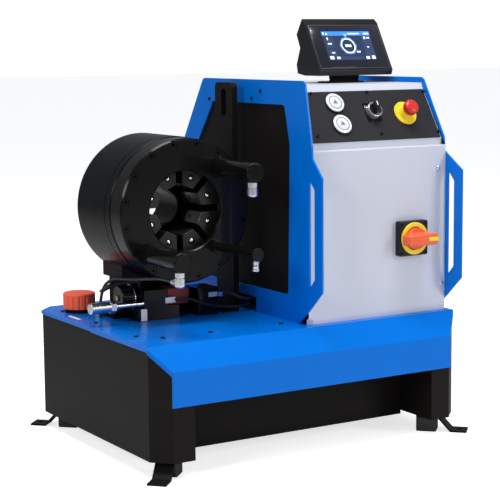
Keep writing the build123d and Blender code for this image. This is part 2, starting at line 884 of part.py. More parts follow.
def cabinet_shell():
    outer = side_profile(cabinet_outline(0), cabinet_left, cabinet_right)
    inner = side_profile(cabinet_outline(cabinet_sheet), cabinet_left - 1, cabinet_right + 1)
    shell = outer - inner
    shell -= box_between(0, 400, -400, 400, 0, cabinet_bottom)
    shell -= box_between(0, 400, tower_rear - 30, 400, 0, cabinet_top - cabinet_sheet)
    window = on_panel((cabinet_left + cabinet_right) / 2, panel_length / 2) * Box(
        cabinet_right - cabinet_left - 40, panel_length - 24, 40
    )
    shell -= window
    plinth = plan_profile(
        [
            (cabinet_left, plinth_front + 14), (cabinet_left + 10, plinth_front),
            (cabinet_right, plinth_front), (cabinet_right, cabinet_front + 8),
            (cabinet_left, cabinet_front + 8),
        ],
        base_top, cabinet_bottom,
    )
    shell += plinth
    shell -= rod_y(11, switch_x, -400, -100, switch_z)
    return shell


def control_panel():
    middle = (cabinet_left + cabinet_right) / 2
    width = cabinet_right - cabinet_left - 2 * control_panel_edge
    length = panel_length - 2.0
    panel = on_panel(middle, panel_length / 2, control_panel_t / 2) * Box(width, length, control_panel_t)
    for down in button_down:
        panel -= on_panel(button_x, down) * Cylinder(button_stem_r + 0.3, 20)
    panel -= on_panel(selector_x, selector_down) * Cylinder(11.2, 20)
    panel -= on_panel(estop_x, estop_down) * Cylinder(11.2, 20)
    return panel


def tower_side_lining():
    x0 = cabinet_left
    outline = [
        (cabinet_front + cabinet_sheet + fit_gap, cabinet_bottom + 30),
        (cabinet_front + cabinet_sheet + fit_gap, cabinet_shoulder - 12),
        (lip_front + 16, panel_foot_z - 14), (panel_head_y + 16, cabinet_top - 22),
        (tower_rear - 12, cabinet_top - 22), (tower_rear - 12, cabinet_bottom + 30),
    ]
    return side_profile(outline, x0, x0 + 1.5)


def tower_back_panel():
    y1 = tower_rear - 3
    panel = box_between(
        cabinet_left, cabinet_right, y1 - cabinet_sheet, y1,
        base_top + fit_gap, cabinet_top - cabinet_sheet - fit_gap,
    )
    for z in (560, 576, 592, 608):
        panel -= box_between(110, 230, y1 - 10, y1 + 10, z, z + 4)
    return panel


# ---------------------------------------------------------------- controls
def push_button(down):
    seat = control_panel_t + 0.3
    top = on_panel(button_x, down, seat + button_travel) * Cylinder(
        button_r, button_height, align=(Align.CENTER, Align.CENTER, Align.MIN)
    )
    top = fillet(top.edges().filter_by(GeomType.CIRCLE), 0.9)
    stem = on_panel(button_x, down, seat + button_travel - button_stem) * Cylinder(
        button_stem_r, button_stem, align=(Align.CENTER, Align.CENTER, Align.MIN)
    )
    return top + stem


def selector_bezel():
    low = (Align.CENTER, Align.CENTER, Align.MIN)
    plate = on_panel(selector_x, selector_down, control_panel_t) * Box(32, 40, 1.5, align=low)
    bezel = on_panel(selector_x, selector_down, control_panel_t + 1.5) * Cylinder(selector_r, 7, align=low)
    bezel = fillet(bezel.edges().filter_by(GeomType.CIRCLE), 1.0)
    barrel = on_panel(selector_x, selector_down, -30) * Cylinder(11, 30 + control_panel_t, align=low)
    body = plate + bezel + barrel
    body -= on_panel(selector_x, selector_down, -20) * Cylinder(6.05, 60, align=low)
    return body


def selector_knob():
    low = (Align.CENTER, Align.CENTER, Align.MIN)
    seat = control_panel_t + 8.5 + 0.3
    knob = on_panel(selector_x, selector_down, seat) * Cylinder(selector_knob_r, 4, align=low)
    grip = on_panel(selector_x, selector_down, seat + 4) * Box(9, 24, selector_knob_height - 4, align=low)
    grip = fillet(grip.edges().filter_by(lambda e: e.length > 8), 1.5)
    spindle = on_panel(selector_x, selector_down, -12) * Cylinder(6.0, seat + 12, align=low)
    return knob + grip + spindle


def estop_base():
    low = (Align.CENTER, Align.CENTER, Align.MIN)
    disc = on_panel(estop_x, estop_down, control_panel_t) * Cylinder(estop_base_r, 2.5, align=low)
    cone = on_panel(estop_x, estop_down, control_panel_t + 2.5) * Cone(
        estop_cone_r, estop_head_r - 2, estop_base_height - 2.5, align=low
    )
    barrel = on_panel(estop_x, estop_down, -34) * Cylinder(11, 34 + control_panel_t, align=low)
    body = disc + cone + barrel
    body -= on_panel(estop_x, estop_down, -20) * Cylinder(estop_stem_r + 0.05, 80, align=low)
    return body


def estop_stem():
    low = (Align.CENTER, Align.CENTER, Align.MIN)
    top = control_panel_t + estop_base_height + estop_travel + 4.1
    return on_panel(estop_x, estop_down, -12) * Cylinder(estop_stem_r, top + 12, align=low)


def estop_head():
    low = (Align.CENTER, Align.CENTER, Align.MIN)
    seat = control_panel_t + estop_base_height + estop_travel + 0.4
    head = on_panel(estop_x, estop_down, seat) * Cylinder(estop_head_r, estop_head_height, align=low)
    front = head.faces().sort_by(Axis(origin=(0, 0, 0), direction=panel_plane.z_dir))[-1]
    head = fillet(front.edges(), 6)
    head -= on_panel(estop_x, estop_down, seat - 1) * Cylinder(estop_stem_r + 0.05, 5, align=low)
    return head


def main_switch_base():
    y1 = cabinet_front
    y0 = y1 - switch_plate_t
    half = switch_size / 2
    base = box_between(switch_x - half, switch_x + half, y0, y1, switch_z - half, switch_z + half)
    base = fillet(base.edges().filter_by(Axis.Y), 4)
    base = chamfer(base.edges().group_by(Axis.Y)[0], 1.5)
    base += rod_y(switch_ring_r, switch_x, y0 - 3, y0, switch_z)
    base += rod_y(10.5, switch_x, y1, y1 + 40, switch_z)
    base -= rod_y(7.05, switch_x, y0 - 10, y1 + 20, switch_z)
    return base


def main_switch_handle():
    y0 = cabinet_front - switch_plate_t - 3 - 0.3
    bar = box_between(
        switch_x - switch_handle_length / 2, switch_x + switch_handle_length / 2,
        y0 - switch_handle_height, y0 - 5,
        switch_z - switch_handle_width / 2, switch_z + switch_handle_width / 2,
    )
    bar = fillet(bar.edges().filter_by(Axis.Y), 5)
    bar = chamfer(bar.edges().group_by(Axis.Y)[0], 2)
    disc = rod_y(20, switch_x, y0 - 5, y0, switch_z)
    return bar + disc + rod_y(7.0, switch_x, y0, cabinet_front + 10, switch_z)


# ---------------------------------------------------------------- display
def display_outline():
    """Side outline (y, z) of the display housing, front face leaning back."""
    y = display_front_y
    z = display_bottom
    return [
        (y + 4, z), (y, z + 10), (y + display_depth_y, z + 104), (y + 66, z + display_height),
        (y + 86, z + 82), (y + 73, z + 55), (y + 86, z + 22), (y + 82, z + 4), (y + 56, z),
    ]


display_hinge_y = display_front_y + 46
display_hinge_z = display_bottom - 3
display_lean = math.atan2(display_depth_y, 94.0)


def display_place(x, up, out=0.0):
    """Place on the display's front face, z out of the glass."""
    face = Plane(
        origin=(display_x, display_front_y, display_bottom + 10),
        x_dir=(1, 0, 0),
        z_dir=(0, -math.cos(display_lean), math.sin(display_lean)),
    )
    return face * Pos(x, up, out)


def display_housing():
    x0 = display_x - display_width / 2
    body = side_profile(display_outline(), x0, x0 + display_width)
    body = fillet(body.edges().filter_by(Axis.X), 2.5)
    pocket = display_place(0, 53) * Box(screen_width + 0.6, screen_height + 0.6, 2 * screen_t)
    x_arm = arm_width / 2 + fit_gap
    groove = rod_x(knuckle_r + fit_gap, display_x - x_arm, display_x + x_arm, display_hinge_y, display_hinge_z)
    return body - pocket - groove


def display_screen():
    return display_place(0, 53, -screen_t / 2) * Box(screen_width, screen_height, screen_t - 0.1)


def display_arm():
    """Foot plate and neck with the barrel that the display tilts on."""
    x0 = display_x - arm_width / 2
    x1 = display_x + arm_width / 2
    foot = box_between(x0 - 18, x1 + 2, display_hinge_y - 22, display_hinge_y + 22, cabinet_top, cabinet_top + 3)
    neck = box_between(x0, x1, display_hinge_y - 6, display_hinge_y + 6, cabinet_top + 3, display_hinge_z)
    return foot + neck + rod_x(knuckle_r, x0, x1, display_hinge_y, display_hinge_z)


# ---------------------------------------------------------------- filler
def filler_cap():
    z0 = base_top + filler_neck_height + 0.3
    cap = rod_z(filler_cap_r, filler_x, filler_y, z0, z0 + filler_cap_height)
    cap = fillet(cap.edges().group_by(Axis.Z)[-1], 3)
    for i in range(flute_count):
        turn = math.radians(360.0 / flute_count * i)
        x = filler_x + (filler_cap_r + 1.6) * math.cos(turn)
        y = filler_y + (filler_cap_r + 1.6) * math.sin(turn)
        cap -= rod_z(3.2, x, y, z0 - 1, z0 + filler_cap_height - 6)
    return cap


def dipstick():
    z1 = base_top + filler_neck_height - 0.2
    plug = rod_z(filler_bore_r - 0.4, filler_x, filler_y, z1 - 10, z1 + 0.2)
    return plug + rod_z(dipstick_r, filler_x, filler_y, z1 - dipstick_length, z1)


# ---------------------------------------------------------------- drive inside the base
def pump_motor():
    body = rod_x(motor_r, motor_left, motor_left + motor_length, motor_y, motor_axis_z)
    body = chamfer(body.edges().group_by(Axis.X)[-1], 8)
    floor = base_underside + tray_sheet
    foot = box_between(
        motor_left + 30, motor_left + motor_length - 30,
        motor_y - 62, motor_y + 62, floor, motor_axis_z - motor_r + 18,
    )
    box = box_between(motor_left + 50, motor_left + 120, motor_y - 35, motor_y + 35, motor_axis_z, motor_axis_z + motor_r + 24)
    body += foot
    body += box
    x0 = motor_left - bell_length
    bell = rod_x(bell_r, x0, motor_left, motor_y, motor_axis_z)
    bell -= rod_x(bell_r - bell_wall, x0 + bell_wall, motor_left + 1, motor_y, motor_axis_z)
    bell -= rod_x(pump_shaft_r + 3, x0 - 1, motor_left, motor_y, motor_axis_z)
    body -= rod_x(shaft_r + running_clearance, motor_left - 1, motor_left + 60, motor_y, motor_axis_z)
    return body + bell


def drive_coupling():
    x0 = motor_left - bell_length
    hub = rod_x(hub_r, x0 + bell_wall + 4, motor_left - 4, motor_y, motor_axis_z)
    groove = rod_x(hub_r + 1, x0 + 34, x0 + 37, motor_y, motor_axis_z)
    groove -= rod_x(hub_r - 4, x0 + 33, x0 + 38, motor_y, motor_axis_z)
    motor_shaft = rod_x(shaft_r, motor_left - 6, motor_left + 55, motor_y, motor_axis_z)
    pump_shaft = rod_x(pump_shaft_r, x0 - 40, x0 + bell_wall + 6, motor_y, motor_axis_z)
    return hub - groove + motor_shaft + pump_shaft


def hydraulic_pump():
    x1 = motor_left - bell_length
    x0 = x1 - pump_length
    half = pump_size / 2
    pump = box_between(x0, x1, motor_y - half, motor_y + half, motor_axis_z - half, motor_axis_z + half)
    pump = fillet(pump.edges().filter_by(Axis.X), 18)
    pump += box_between(
        x0 + 20, x1 - 20, motor_y - 28, motor_y + 28, base_underside + tray_sheet, motor_axis_z - half + 2
    )
    return pump - rod_x(pump_shaft_r + running_clearance, x1 - 46, x1 + 1, motor_y, motor_axis_z)


def oil_tank():
    z0 = base_underside + tray_sheet
    z1 = base_top - tank_gap
    tank = box_between(tank_left, tank_right, tank_front, tank_back, z0, z1)
    tank -= box_between(
        tank_left + tank_wall, tank_right - tank_wall,
        tank_front + tank_wall, tank_back - tank_wall, z0 + tank_wall, z1 - tank_wall,
    )
    tank += rod_z(filler_bore_r + 4, filler_x, filler_y, z1, base_top)
    tank += rod_z(filler_neck_r, filler_x, filler_y, base_top, base_top + filler_neck_height)
    return tank - rod_z(filler_bore_r, filler_x, filler_y, z1 - 20, base_top + 20)


def control_electrics():
    """Mounting plate in the tower with the controller, the power supply and two contactors."""
    y0 = tower_rear - 60
    plate = box_between(cabinet_left + 20, cabinet_right - 20, y0, y0 + 3, 300, 640)
    for x in (cabinet_left + 40, cabinet_right - 40):
        for z in (320, 620):
            plate += rod_y(6, x, y0 + 3, tower_rear - 3 - cabinet_sheet - fit_gap, z)
    pieces = [plate]
    for x0, x1, z0, z1, depth in (
        (50, 150, 520, 620, 75), (170, 230, 520, 620, 95), (60, 110, 400, 480, 80), (125, 175, 400, 480, 80),
    ):
        pieces.append(box_between(x0, x1, y0 - depth, y0, z0, z1))
    pieces.append(bulkhead())
    return Compound(children=pieces)


# ---------------------------------------------------------------- fittings, hoses, cable
hose_r = 3.0
pressure_hose_r = 4.0
cable_r = 3.0
elbow_out_reach = 26.0

cable_start = (-165.0, -6.0, 278.0)
cable_route = [
    cable_start, (-137.0, -6.0, 278.0), (-98.0, -12.0, 262.0), (-60.0, -10.5, 253.5),
    (-22.0, -7.5, 250.0), (14.0, 4.0, 251.0), (bulkhead_x, 4.0, 251.0),
]
pressure_route = [
    (-58.0, 0.0, 279.0), (-40.0, 0.0, 279.0), (-15.0, -10.0, 265.5),
    (17.0, -8.0, 261.0), (bulkhead_x, -8.0, 261.0),
]
return_route = [
    (-255.0, -166.0, 341.0), (-255.0, -118.0, 341.0), (-262.0, -60.0, 333.0), (-267.0, -4.0, 325.5),
    (-271.0, 49.0, 321.0), (-277.0, 76.0, 304.0), (-280.0, 86.0, 273.0), (-280.0, 86.0, base_top),
]


def elbow(x, y, z_top):
    """Port fitting that hangs under a cylinder's cap, closed at its foot."""
    hexagon = Pos(x, y, z_top - 9) * extrude(RegularPolygon(9.5, 6), amount=9)
    stub = rod_z(port_r - 0.2, x, y, z_top - 1, z_top + 5)
    body = rod_z(10, x, y, z_top - 28, z_top - 10)
    body = fillet(body.edges().group_by(Axis.Z)[0], 6)
    return hexagon + stub + body + rod_z(6, x, y, z_top - 11, z_top - 8)


def hose_fittings():
    port_y = face_y - return_reach + port_inset
    pieces = []
    for angle in cylinder_angles:
        x, z = head_point(return_r, angle)
        pieces.append(elbow(x, port_y, z - return_cap_r))
    start = return_route[0]
    z_out = pieces[1].bounding_box().min.Z + 9
    pieces[1] += rod_y(8, start[0], port_y, start[1] - 8, z_out)
    pieces[1] += rod_y(6, start[0], start[1] - 9, start[1], start[2])
    nut = Pos(pressure_route[0][0] - 5, pressure_route[0][1], pressure_route[0][2]) * Rot(0, 90, 0) * extrude(
        RegularPolygon(8, 6), amount=5, both=True
    )
    pieces.append(nut)
    return Compound(children=pieces)


def bulkhead():
    """Upright block inside the tower where the pressure hose and the cable end."""
    return box_between(
        bulkhead_x, bulkhead_x + bulkhead_t, -28, 40, base_top, base_top + cable_gate_height + 6
    )


def corner_radii(points):
    """Largest arcs that the runs beside each corner leave room for."""
    radii = []
    for a, b, c in zip(points, points[1:], points[2:]):
        run_in = Vector(*b) - Vector(*a)
        run_out = Vector(*c) - Vector(*b)
        half_turn = math.radians(run_in.get_angle(run_out)) / 2
        radii.append(0.45 * min(run_in.length, run_out.length) / math.tan(half_turn))
    return radii


def tube_along(points, radius):
    radii = corner_radii(points)
    path = FilletPolyline(*points, radius=radii)
    run = Vector(*points[1]) - Vector(*points[0])
    tube = sweep(Plane(origin=points[0], z_dir=run) * Circle(radius), path=path)
    section = math.pi * radius**2
    print("tube radii", [round(r) for r in radii], "volume over section x length",
          round(tube.volume / (section * path.length), 4))
    return tube


# ---------------------------------------------------------------- nodes
def build_nodes():
    nodes = {
        "top_cover": top_cover(),
        "cover_screws": cover_screws(),
        "left_side_panel": side_panel(-1),
        "right_side_panel": side_panel(1),
        "rear_panel": rear_panel(),
        "base_tray": base_tray(),
        "floor_tabs": floor_tabs(),
        "foot_pads": foot_pads(),
        "front_plate": front_plate(),
        "head_housing": head_housing(),
        "front_bolts": front_bolts(),
        "pressure_ring": pressure_ring(),
        "return_rods": return_rods(),
        "return_cylinders": return_cylinders(),
        "position_sensor": position_sensor(),
        "head_saddle": head_saddle(),
        "lifting_bar": lifting_bar(),
        "manifold_block": manifold_block(),
        "valve_blocks": valve_blocks(),
        "solenoid_coil": solenoid_coil(),
        "pressure_knob": pressure_knob(),
        "valve_lever": valve_lever(),
        "test_coupling": test_coupling(),
        "tower_left_plate": tower_left_plate(),
        "tower_right_plate": tower_right_plate(),
        "cabinet_shell": cabinet_shell(),
        "control_panel": control_panel(),
        "tower_side_lining": tower_side_lining(),
        "tower_back_panel": tower_back_panel(),
        "push_button_upper": push_button(button_down[0]),
        "push_button_lower": push_button(button_down[1]),
        "selector_bezel": selector_bezel(),
        "selector_knob": selector_knob(),
        "estop_base": estop_base(),
        "estop_stem": estop_stem(),
        "estop_head": estop_head(),
        "main_switch_base": main_switch_base(),
        "main_switch_handle": main_switch_handle(),
        "display_housing": display_housing(),
        "display_screen": display_screen(),
        "display_arm": display_arm(),
        "filler_cap": filler_cap(),
        "dipstick": dipstick(),
        "pump_motor": pump_motor(),
        "drive_coupling": drive_coupling(),
        "hydraulic_pump": hydraulic_pump(),
        "oil_tank": oil_tank(),
        "control_electrics": control_electrics(),
        "hose_fittings": hose_fittings(),
        "return_hose": tube_along(return_route, hose_r),
        "pressure_hose": tube_along(pressure_route, pressure_hose_r),
        "valve_cable": tube_along(cable_route, cable_r),
    }
    for index in range(die_count):
        angle = die_angle * (index + 0.5)
        nodes["die_" + str(index + 1)] = Compound(children=master_die(angle))
    return nodes


for name, shape in build_nodes().items():
    export_step(shape, "parts/" + name + ".step")
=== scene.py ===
import math
import bpy
from mathutils import Matrix, Vector
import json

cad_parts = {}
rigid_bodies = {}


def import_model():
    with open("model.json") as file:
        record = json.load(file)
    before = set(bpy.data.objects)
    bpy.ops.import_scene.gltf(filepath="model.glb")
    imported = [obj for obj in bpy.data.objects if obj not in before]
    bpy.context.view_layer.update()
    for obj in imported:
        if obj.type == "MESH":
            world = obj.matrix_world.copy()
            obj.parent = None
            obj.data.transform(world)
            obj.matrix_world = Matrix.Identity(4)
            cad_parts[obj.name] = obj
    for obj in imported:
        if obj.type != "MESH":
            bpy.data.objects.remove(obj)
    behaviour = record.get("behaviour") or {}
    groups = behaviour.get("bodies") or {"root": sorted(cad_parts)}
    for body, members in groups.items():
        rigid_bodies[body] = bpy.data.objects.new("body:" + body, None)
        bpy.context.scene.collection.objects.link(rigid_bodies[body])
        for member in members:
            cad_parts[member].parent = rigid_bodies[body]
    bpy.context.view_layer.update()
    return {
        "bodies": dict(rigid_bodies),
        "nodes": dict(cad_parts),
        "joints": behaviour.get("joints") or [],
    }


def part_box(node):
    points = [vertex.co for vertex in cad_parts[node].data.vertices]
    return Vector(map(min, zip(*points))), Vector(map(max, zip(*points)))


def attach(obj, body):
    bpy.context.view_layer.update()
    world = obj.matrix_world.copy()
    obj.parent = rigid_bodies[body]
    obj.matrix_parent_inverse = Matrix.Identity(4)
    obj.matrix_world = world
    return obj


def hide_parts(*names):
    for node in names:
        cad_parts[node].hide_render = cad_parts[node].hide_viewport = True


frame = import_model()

MM = 0.001
nodes = frame["nodes"]
joints = {joint["name"]: joint for joint in frame["joints"]}
die_count = 8
die_nodes = ["die_" + str(index + 1) for index in range(die_count)]


# ------------------------------------------------------------------ places read from the model
def low(node):
    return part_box(node)[0]


def high(node):
    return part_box(node)[1]


def middle(node):
    a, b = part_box(node)
    return (a + b) / 2


def frame_at(place, out, up):
    """Matrix whose Z points out of a face and whose Y points up it."""
    out = Vector(out).normalized()
    up = Vector(up).normalized()
    across = up.cross(out).normalized()
    rows = Matrix((across, up, out)).transposed().to_4x4()
    return Matrix.Translation(Vector(place)) @ rows


# ------------------------------------------------------------------ modelling helpers
def deselect():
    if bpy.context.object and bpy.context.object.mode != "OBJECT":
        bpy.ops.object.mode_set(mode="OBJECT")
    bpy.ops.object.select_all(action="DESELECT")


def pick(piece):
    """Makes a piece the only one selected, and the active one."""
    deselect()
    piece.select_set(True)
    bpy.context.view_layer.objects.active = piece


def open_whole(piece):
    """Opens a piece for editing with all of it selected."""
    pick(piece)
    bpy.ops.object.mode_set(mode="EDIT")
    bpy.ops.mesh.select_all(action="SELECT")


def begin(name):
    """Names the primitive that was added last, and its mesh."""
    piece = bpy.context.object
    piece.name = name
    piece.data.name = name
    return piece


def edit(piece, kind="FACE"):
    """Readies a piece for picking its faces or points by a test, with none of them selected."""
    pick(piece)
    bpy.ops.object.mode_set(mode="EDIT")
    bpy.ops.mesh.select_mode(type=kind)
    bpy.ops.mesh.select_all(action="DESELECT")
    bpy.ops.object.mode_set(mode="OBJECT")


def select_faces(piece, test):
    """Selects the faces that pass a test and opens the piece for editing."""
    for face in piece.data.polygons:
        face.select = bool(test(face))
    bpy.ops.object.mode_set(mode="EDIT")


def leave_edit():
    bpy.ops.object.mode_set(mode="OBJECT")


def apply_modifiers(piece):
    pick(piece)
    for modifier in list(piece.modifiers):
        bpy.ops.object.modifier_apply(modifier=modifier.name)


def soften(piece, width, segments=2, angle=35):
    """Breaks the edges that are sharper than an angle."""
    bevel = piece.modifiers.new("edge", "BEVEL")
    bevel.width = width
    bevel.segments = segments
    bevel.limit_method = "ANGLE"
    bevel.angle_limit = math.radians(angle)
    apply_modifiers(piece)


def shade(piece, angle=32):
    """Smooths a piece except at the edges sharper than an angle."""
    pick(piece)
    bpy.ops.object.shade_smooth_by_angle(angle=math.radians(angle))


def settle(piece, place, body, material):
    """Puts a piece modelled at the origin in its place and rides it on its body."""
    piece.data.transform(place @ piece.matrix_world)
    piece.matrix_world = Matrix.Identity(4)
    piece.data.materials.clear()
    piece.data.materials.append(material)
    shade(piece)
    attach(piece, body)


def copy_piece(piece, name, place, body):
    """Copy with a mesh of its own, put in its place and ridden on its body."""
    twin = piece.copy()
    twin.data = piece.data.copy()
    twin.name = name
    twin.data.name = name
    bpy.context.scene.collection.objects.link(twin)
    twin.parent = None
    twin.matrix_world = Matrix.Identity(4)
    twin.data.transform(place)
    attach(twin, body)


def disc(name, radius, height, edge=0.0, sides=48):
    """Round plate on Z, its foot at the origin, with a rolled top edge."""
    deselect()
    centre = (0, 0, height / 2)
    bpy.ops.mesh.primitive_cylinder_add(vertices=sides, radius=radius, depth=height, location=centre)
    piece = begin(name)
    if edge:
        soften(piece, edge, 3, 50)
    return piece


def plate(name, width, length, height, edge=0.0):
    """Rectangular plate on Z, its foot at the origin."""
    deselect()
    centre = (0, 0, height / 2)
    bpy.ops.mesh.primitive_cube_add(size=1, location=centre, scale=(width, length, height))
    piece = begin(name)
    pick(piece)
    bpy.ops.object.transform_apply(location=True, rotation=True, scale=True)
    if edge:
        soften(piece, edge, 2, 50)
    return piece


def washer(name, outer, inner, height, edge=0.0, sides=48):
    """Flat ring on Z: a disc whose ends are inset and bridged through."""
    piece = disc(name, outer, height, 0, sides)
    edit(piece)
    select_faces(piece, lambda f: abs(f.normal.z) > 0.9)
    bpy.ops.mesh.inset(thickness=outer - inner, use_even_offset=True)
    bpy.ops.mesh.bridge_edge_loops()
    leave_edit()
    if edge:
        soften(piece, edge, 2, 50)
    return piece


def socket_screw(name, radius, height, socket):
    """Domed screw head on Z with a round socket sunk in its top."""
    piece = disc(name, radius, height, 0, 36)
    edit(piece)
    select_faces(piece, lambda f: f.normal.z > 0.9)
    bpy.ops.mesh.inset(thickness=radius - socket)
    bpy.ops.transform.translate(value=(0, 0, height * 0.15))
    bpy.ops.mesh.inset(thickness=socket * 0.12)
    bpy.ops.transform.translate(value=(0, 0, -height * 0.6))
    leave_edit()
    soften(piece, height * 0.2, 2, 40)
    return piece


def cad_copy(node, name):
    """Copy of a node with its flat faces joined, ready to be reshaped and to stand for it."""
    piece = nodes[node].copy()
    piece.data = nodes[node].data.copy()
    piece.name = name
    piece.data.name = name
    for key in list(piece.keys()):
        del piece[key]
    piece.parent = None
    bpy.context.scene.collection.objects.link(piece)
    piece.matrix_world = Matrix.Identity(4)
    open_whole(piece)
    bpy.ops.mesh.remove_doubles(threshold=0.00001)
    bpy.ops.mesh.dissolve_limited(angle_limit=math.radians(1.0))
    leave_edit()
    return piece


def slice_whole(piece, place, out, clear, fill):
    """Crosses a piece with a plane, and may take off what lies beyond it and close the cut."""
    open_whole(piece)
    bpy.ops.mesh.bisect(plane_co=place, plane_no=out, clear_outer=clear, use_fill=fill)
    leave_edit()


def cut(piece, place, out):
    """Takes off what lies beyond a plane and closes the cut."""
    slice_whole(piece, place, out, True, True)


def score(piece, place, out):
    """Adds edges where a plane crosses a piece."""
    slice_whole(piece, place, out, False, False)


def stretch(piece, centre, value):
    """Scales a whole piece about a point."""
    open_whole(piece)
    bpy.ops.transform.resize(value=value, center_override=centre)
    leave_edit()


def move_points(piece, test, by):
    """Moves the points that pass a test."""
    edit(piece, "VERT")
    for point in piece.data.vertices:
        point.select = bool(test(point.co))
    bpy.ops.object.mode_set(mode="EDIT")
    bpy.ops.transform.translate(value=by)
    leave_edit()


# ------------------------------------------------------------------ materials
def new_material(name):
    material = bpy.data.materials.new(name)
    material.use_nodes = True
    tree = material.node_tree
    shader = tree.nodes["Principled BSDF"]
    return material, tree, shader


def object_coords(tree, scale):
    """Object coordinates, scaled along each axis."""
    coords = tree.nodes.new("ShaderNodeTexCoord")
    mapping = tree.nodes.new("ShaderNodeMapping")
    mapping.inputs["Scale"].default_value = scale
    tree.links.new(coords.outputs["Object"], mapping.inputs["Vector"])
    return mapping.outputs["Vector"]


def noise(tree, vector, scale, detail=3.0, rough=0.5):
    texture = tree.nodes.new("ShaderNodeTexNoise")
    texture.inputs["Scale"].default_value = scale
    texture.inputs["Detail"].default_value = detail
    texture.inputs["Roughness"].default_value = rough
    tree.links.new(vector, texture.inputs["Vector"])
    return texture.outputs["Fac"]


def ramp(tree, value, stops):
    mix = tree.nodes.new("ShaderNodeValToRGB")
    while len(mix.color_ramp.elements) < len(stops):
        mix.color_ramp.elements.new(0.5)
    for element, (place, colour) in zip(mix.color_ramp.elements, stops):
        element.position = place
        element.color = (*colour, 1)
    tree.links.new(value, mix.inputs["Fac"])
    return mix.outputs["Color"]


def spread(tree, value, lowest, highest):
    """Spreads the middle of a noise over a range."""
    change = tree.nodes.new("ShaderNodeMapRange")
    change.inputs["From Min"].default_value = 0.3
    change.inputs["From Max"].default_value = 0.7
    change.inputs["To Min"].default_value = lowest
    change.inputs["To Max"].default_value = highest
    tree.links.new(value, change.inputs["Value"])
    return change.outputs["Result"]


def bump(tree, shader, height, strength, distance):
    node = tree.nodes.new("ShaderNodeBump")
    node.inputs["Strength"].default_value = strength
    node.inputs["Distance"].default_value = distance
    tree.links.new(height, node.inputs["Height"])
    tree.links.new(node.outputs["Normal"], shader.inputs["Normal"])


def shift(colour, factor):
    """A colour made lighter or darker."""
    return tuple(min(1.0, c * factor) for c in colour)


def finish(name, colour, rough, metal=0.0, grain=400.0, depth=0.00005, strength=0.2,
           vary=0.08, clouds=6.0, coat=0.0, coat_rough=0.05, streaks=(1, 1, 1), specular=0.5):
    """Material with cloudy colour and gloss and a fine surface grain."""
    material, tree, shader = new_material(name)
    cloud = noise(tree, object_coords(tree, (1, 1, 1)), clouds, 5.0, 0.6)
    stops = [(0.3, shift(colour, 1 - vary)), (0.7, shift(colour, 1 + vary))]
    tree.links.new(ramp(tree, cloud, stops), shader.inputs["Base Color"])
    fine = noise(tree, object_coords(tree, streaks), grain, 2.0, 0.5)
    gloss = spread(tree, fine, rough * 0.85, min(1.0, rough * 1.15))
    tree.links.new(gloss, shader.inputs["Roughness"])
    bump(tree, shader, fine, strength, depth)
    shader.inputs["Metallic"].default_value = metal
    shader.inputs["Specular IOR Level"].default_value = specular
    shader.inputs["Coat Weight"].default_value = coat
    shader.inputs["Coat Roughness"].default_value = coat_rough
    return material


def glow(name, colour, strength):
    """Lit material of the screen."""
    material, tree, shader = new_material(name)
    fine = noise(tree, object_coords(tree, (1, 1, 1)), 900.0, 1.0)
    stops = [(0.3, shift(colour, 0.96)), (0.7, colour)]
    tint = ramp(tree, fine, stops)
    tree.links.new(tint, shader.inputs["Base Color"])
    tree.links.new(tint, shader.inputs["Emission Color"])
    shader.inputs["Emission Strength"].default_value = strength
    shader.inputs["Roughness"].default_value = 0.4
    return material


blue_enamel = finish("blue_enamel", (0.0, 0.150, 0.62), 0.24, grain=260.0, depth=0.00004,
                     strength=0.12, vary=0.03, clouds=3.0, coat=0.09, coat_rough=0.05,
                     specular=0.08)
black_powder = finish("black_powder", (0.0080, 0.0062, 0.0055), 0.5, grain=900.0, depth=0.0001,
                      strength=0.35, vary=0.2, clouds=5.0, specular=0.1)
panel_black = finish("panel_black", (0.018, 0.018, 0.021), 0.5, grain=1100.0, depth=0.00006,
                     strength=0.3, vary=0.1, clouds=9.0, specular=0.2)
grey_powder = finish("grey_powder", (0.56, 0.58, 0.67), 0.38, grain=700.0, depth=0.00005,
                     strength=0.18, vary=0.02, clouds=4.0, coat=0.15, coat_rough=0.2)
blackened = finish("blackened_steel", (0.004, 0.004, 0.004), 0.22, grain=600.0,
                   depth=0.00003, strength=0.15, vary=0.2, clouds=8.0, coat=0.12, coat_rough=0.06,
                   specular=0.1)
oiled_cast = finish("oiled_housing", (0.0025, 0.0025, 0.003), 0.3, grain=420.0, depth=0.00014,
                    strength=0.35, vary=0.25, clouds=12.0, coat=0.10, coat_rough=0.12,
                    specular=0.05)
seat_steel = finish("seat_steel", (0.16, 0.14, 0.125), 0.3, metal=0.85, grain=160.0, depth=0.00006,
                    strength=0.2, vary=0.25, clouds=14.0, streaks=(6, 1, 6))
die_steel = finish("die_steel", (0.030, 0.026, 0.023), 0.34, metal=0.6, grain=160.0, depth=0.00008,
                   strength=0.25, vary=0.25, clouds=14.0, streaks=(1, 6, 1))
zinc_plate = finish("zinc_plate", (0.62, 0.63, 0.66), 0.24, metal=1.0, grain=300.0, depth=0.00001,
                    strength=0.06, vary=0.08, clouds=30.0)
chrome = finish("chrome", (0.82, 0.83, 0.85), 0.08, metal=1.0, grain=200.0, depth=0.00001,
                strength=0.05, vary=0.03, clouds=20.0)
brass = finish("brass", (0.68, 0.42, 0.16), 0.28, metal=1.0, grain=400.0, strength=0.15, vary=0.1,
               clouds=60.0)
rubber = finish("rubber", (0.016, 0.016, 0.016), 0.62, grain=700.0, depth=0.0001, strength=0.3,
                vary=0.15)
hose_skin = finish("hose_skin", (0.018, 0.018, 0.019), 0.4, grain=900.0, depth=0.00005,
                   strength=0.2, vary=0.15)
black_plastic = finish("black_plastic", (0.007, 0.007, 0.009), 0.36, grain=1300.0, depth=0.00005,
                       strength=0.25, vary=0.1, specular=0.28)
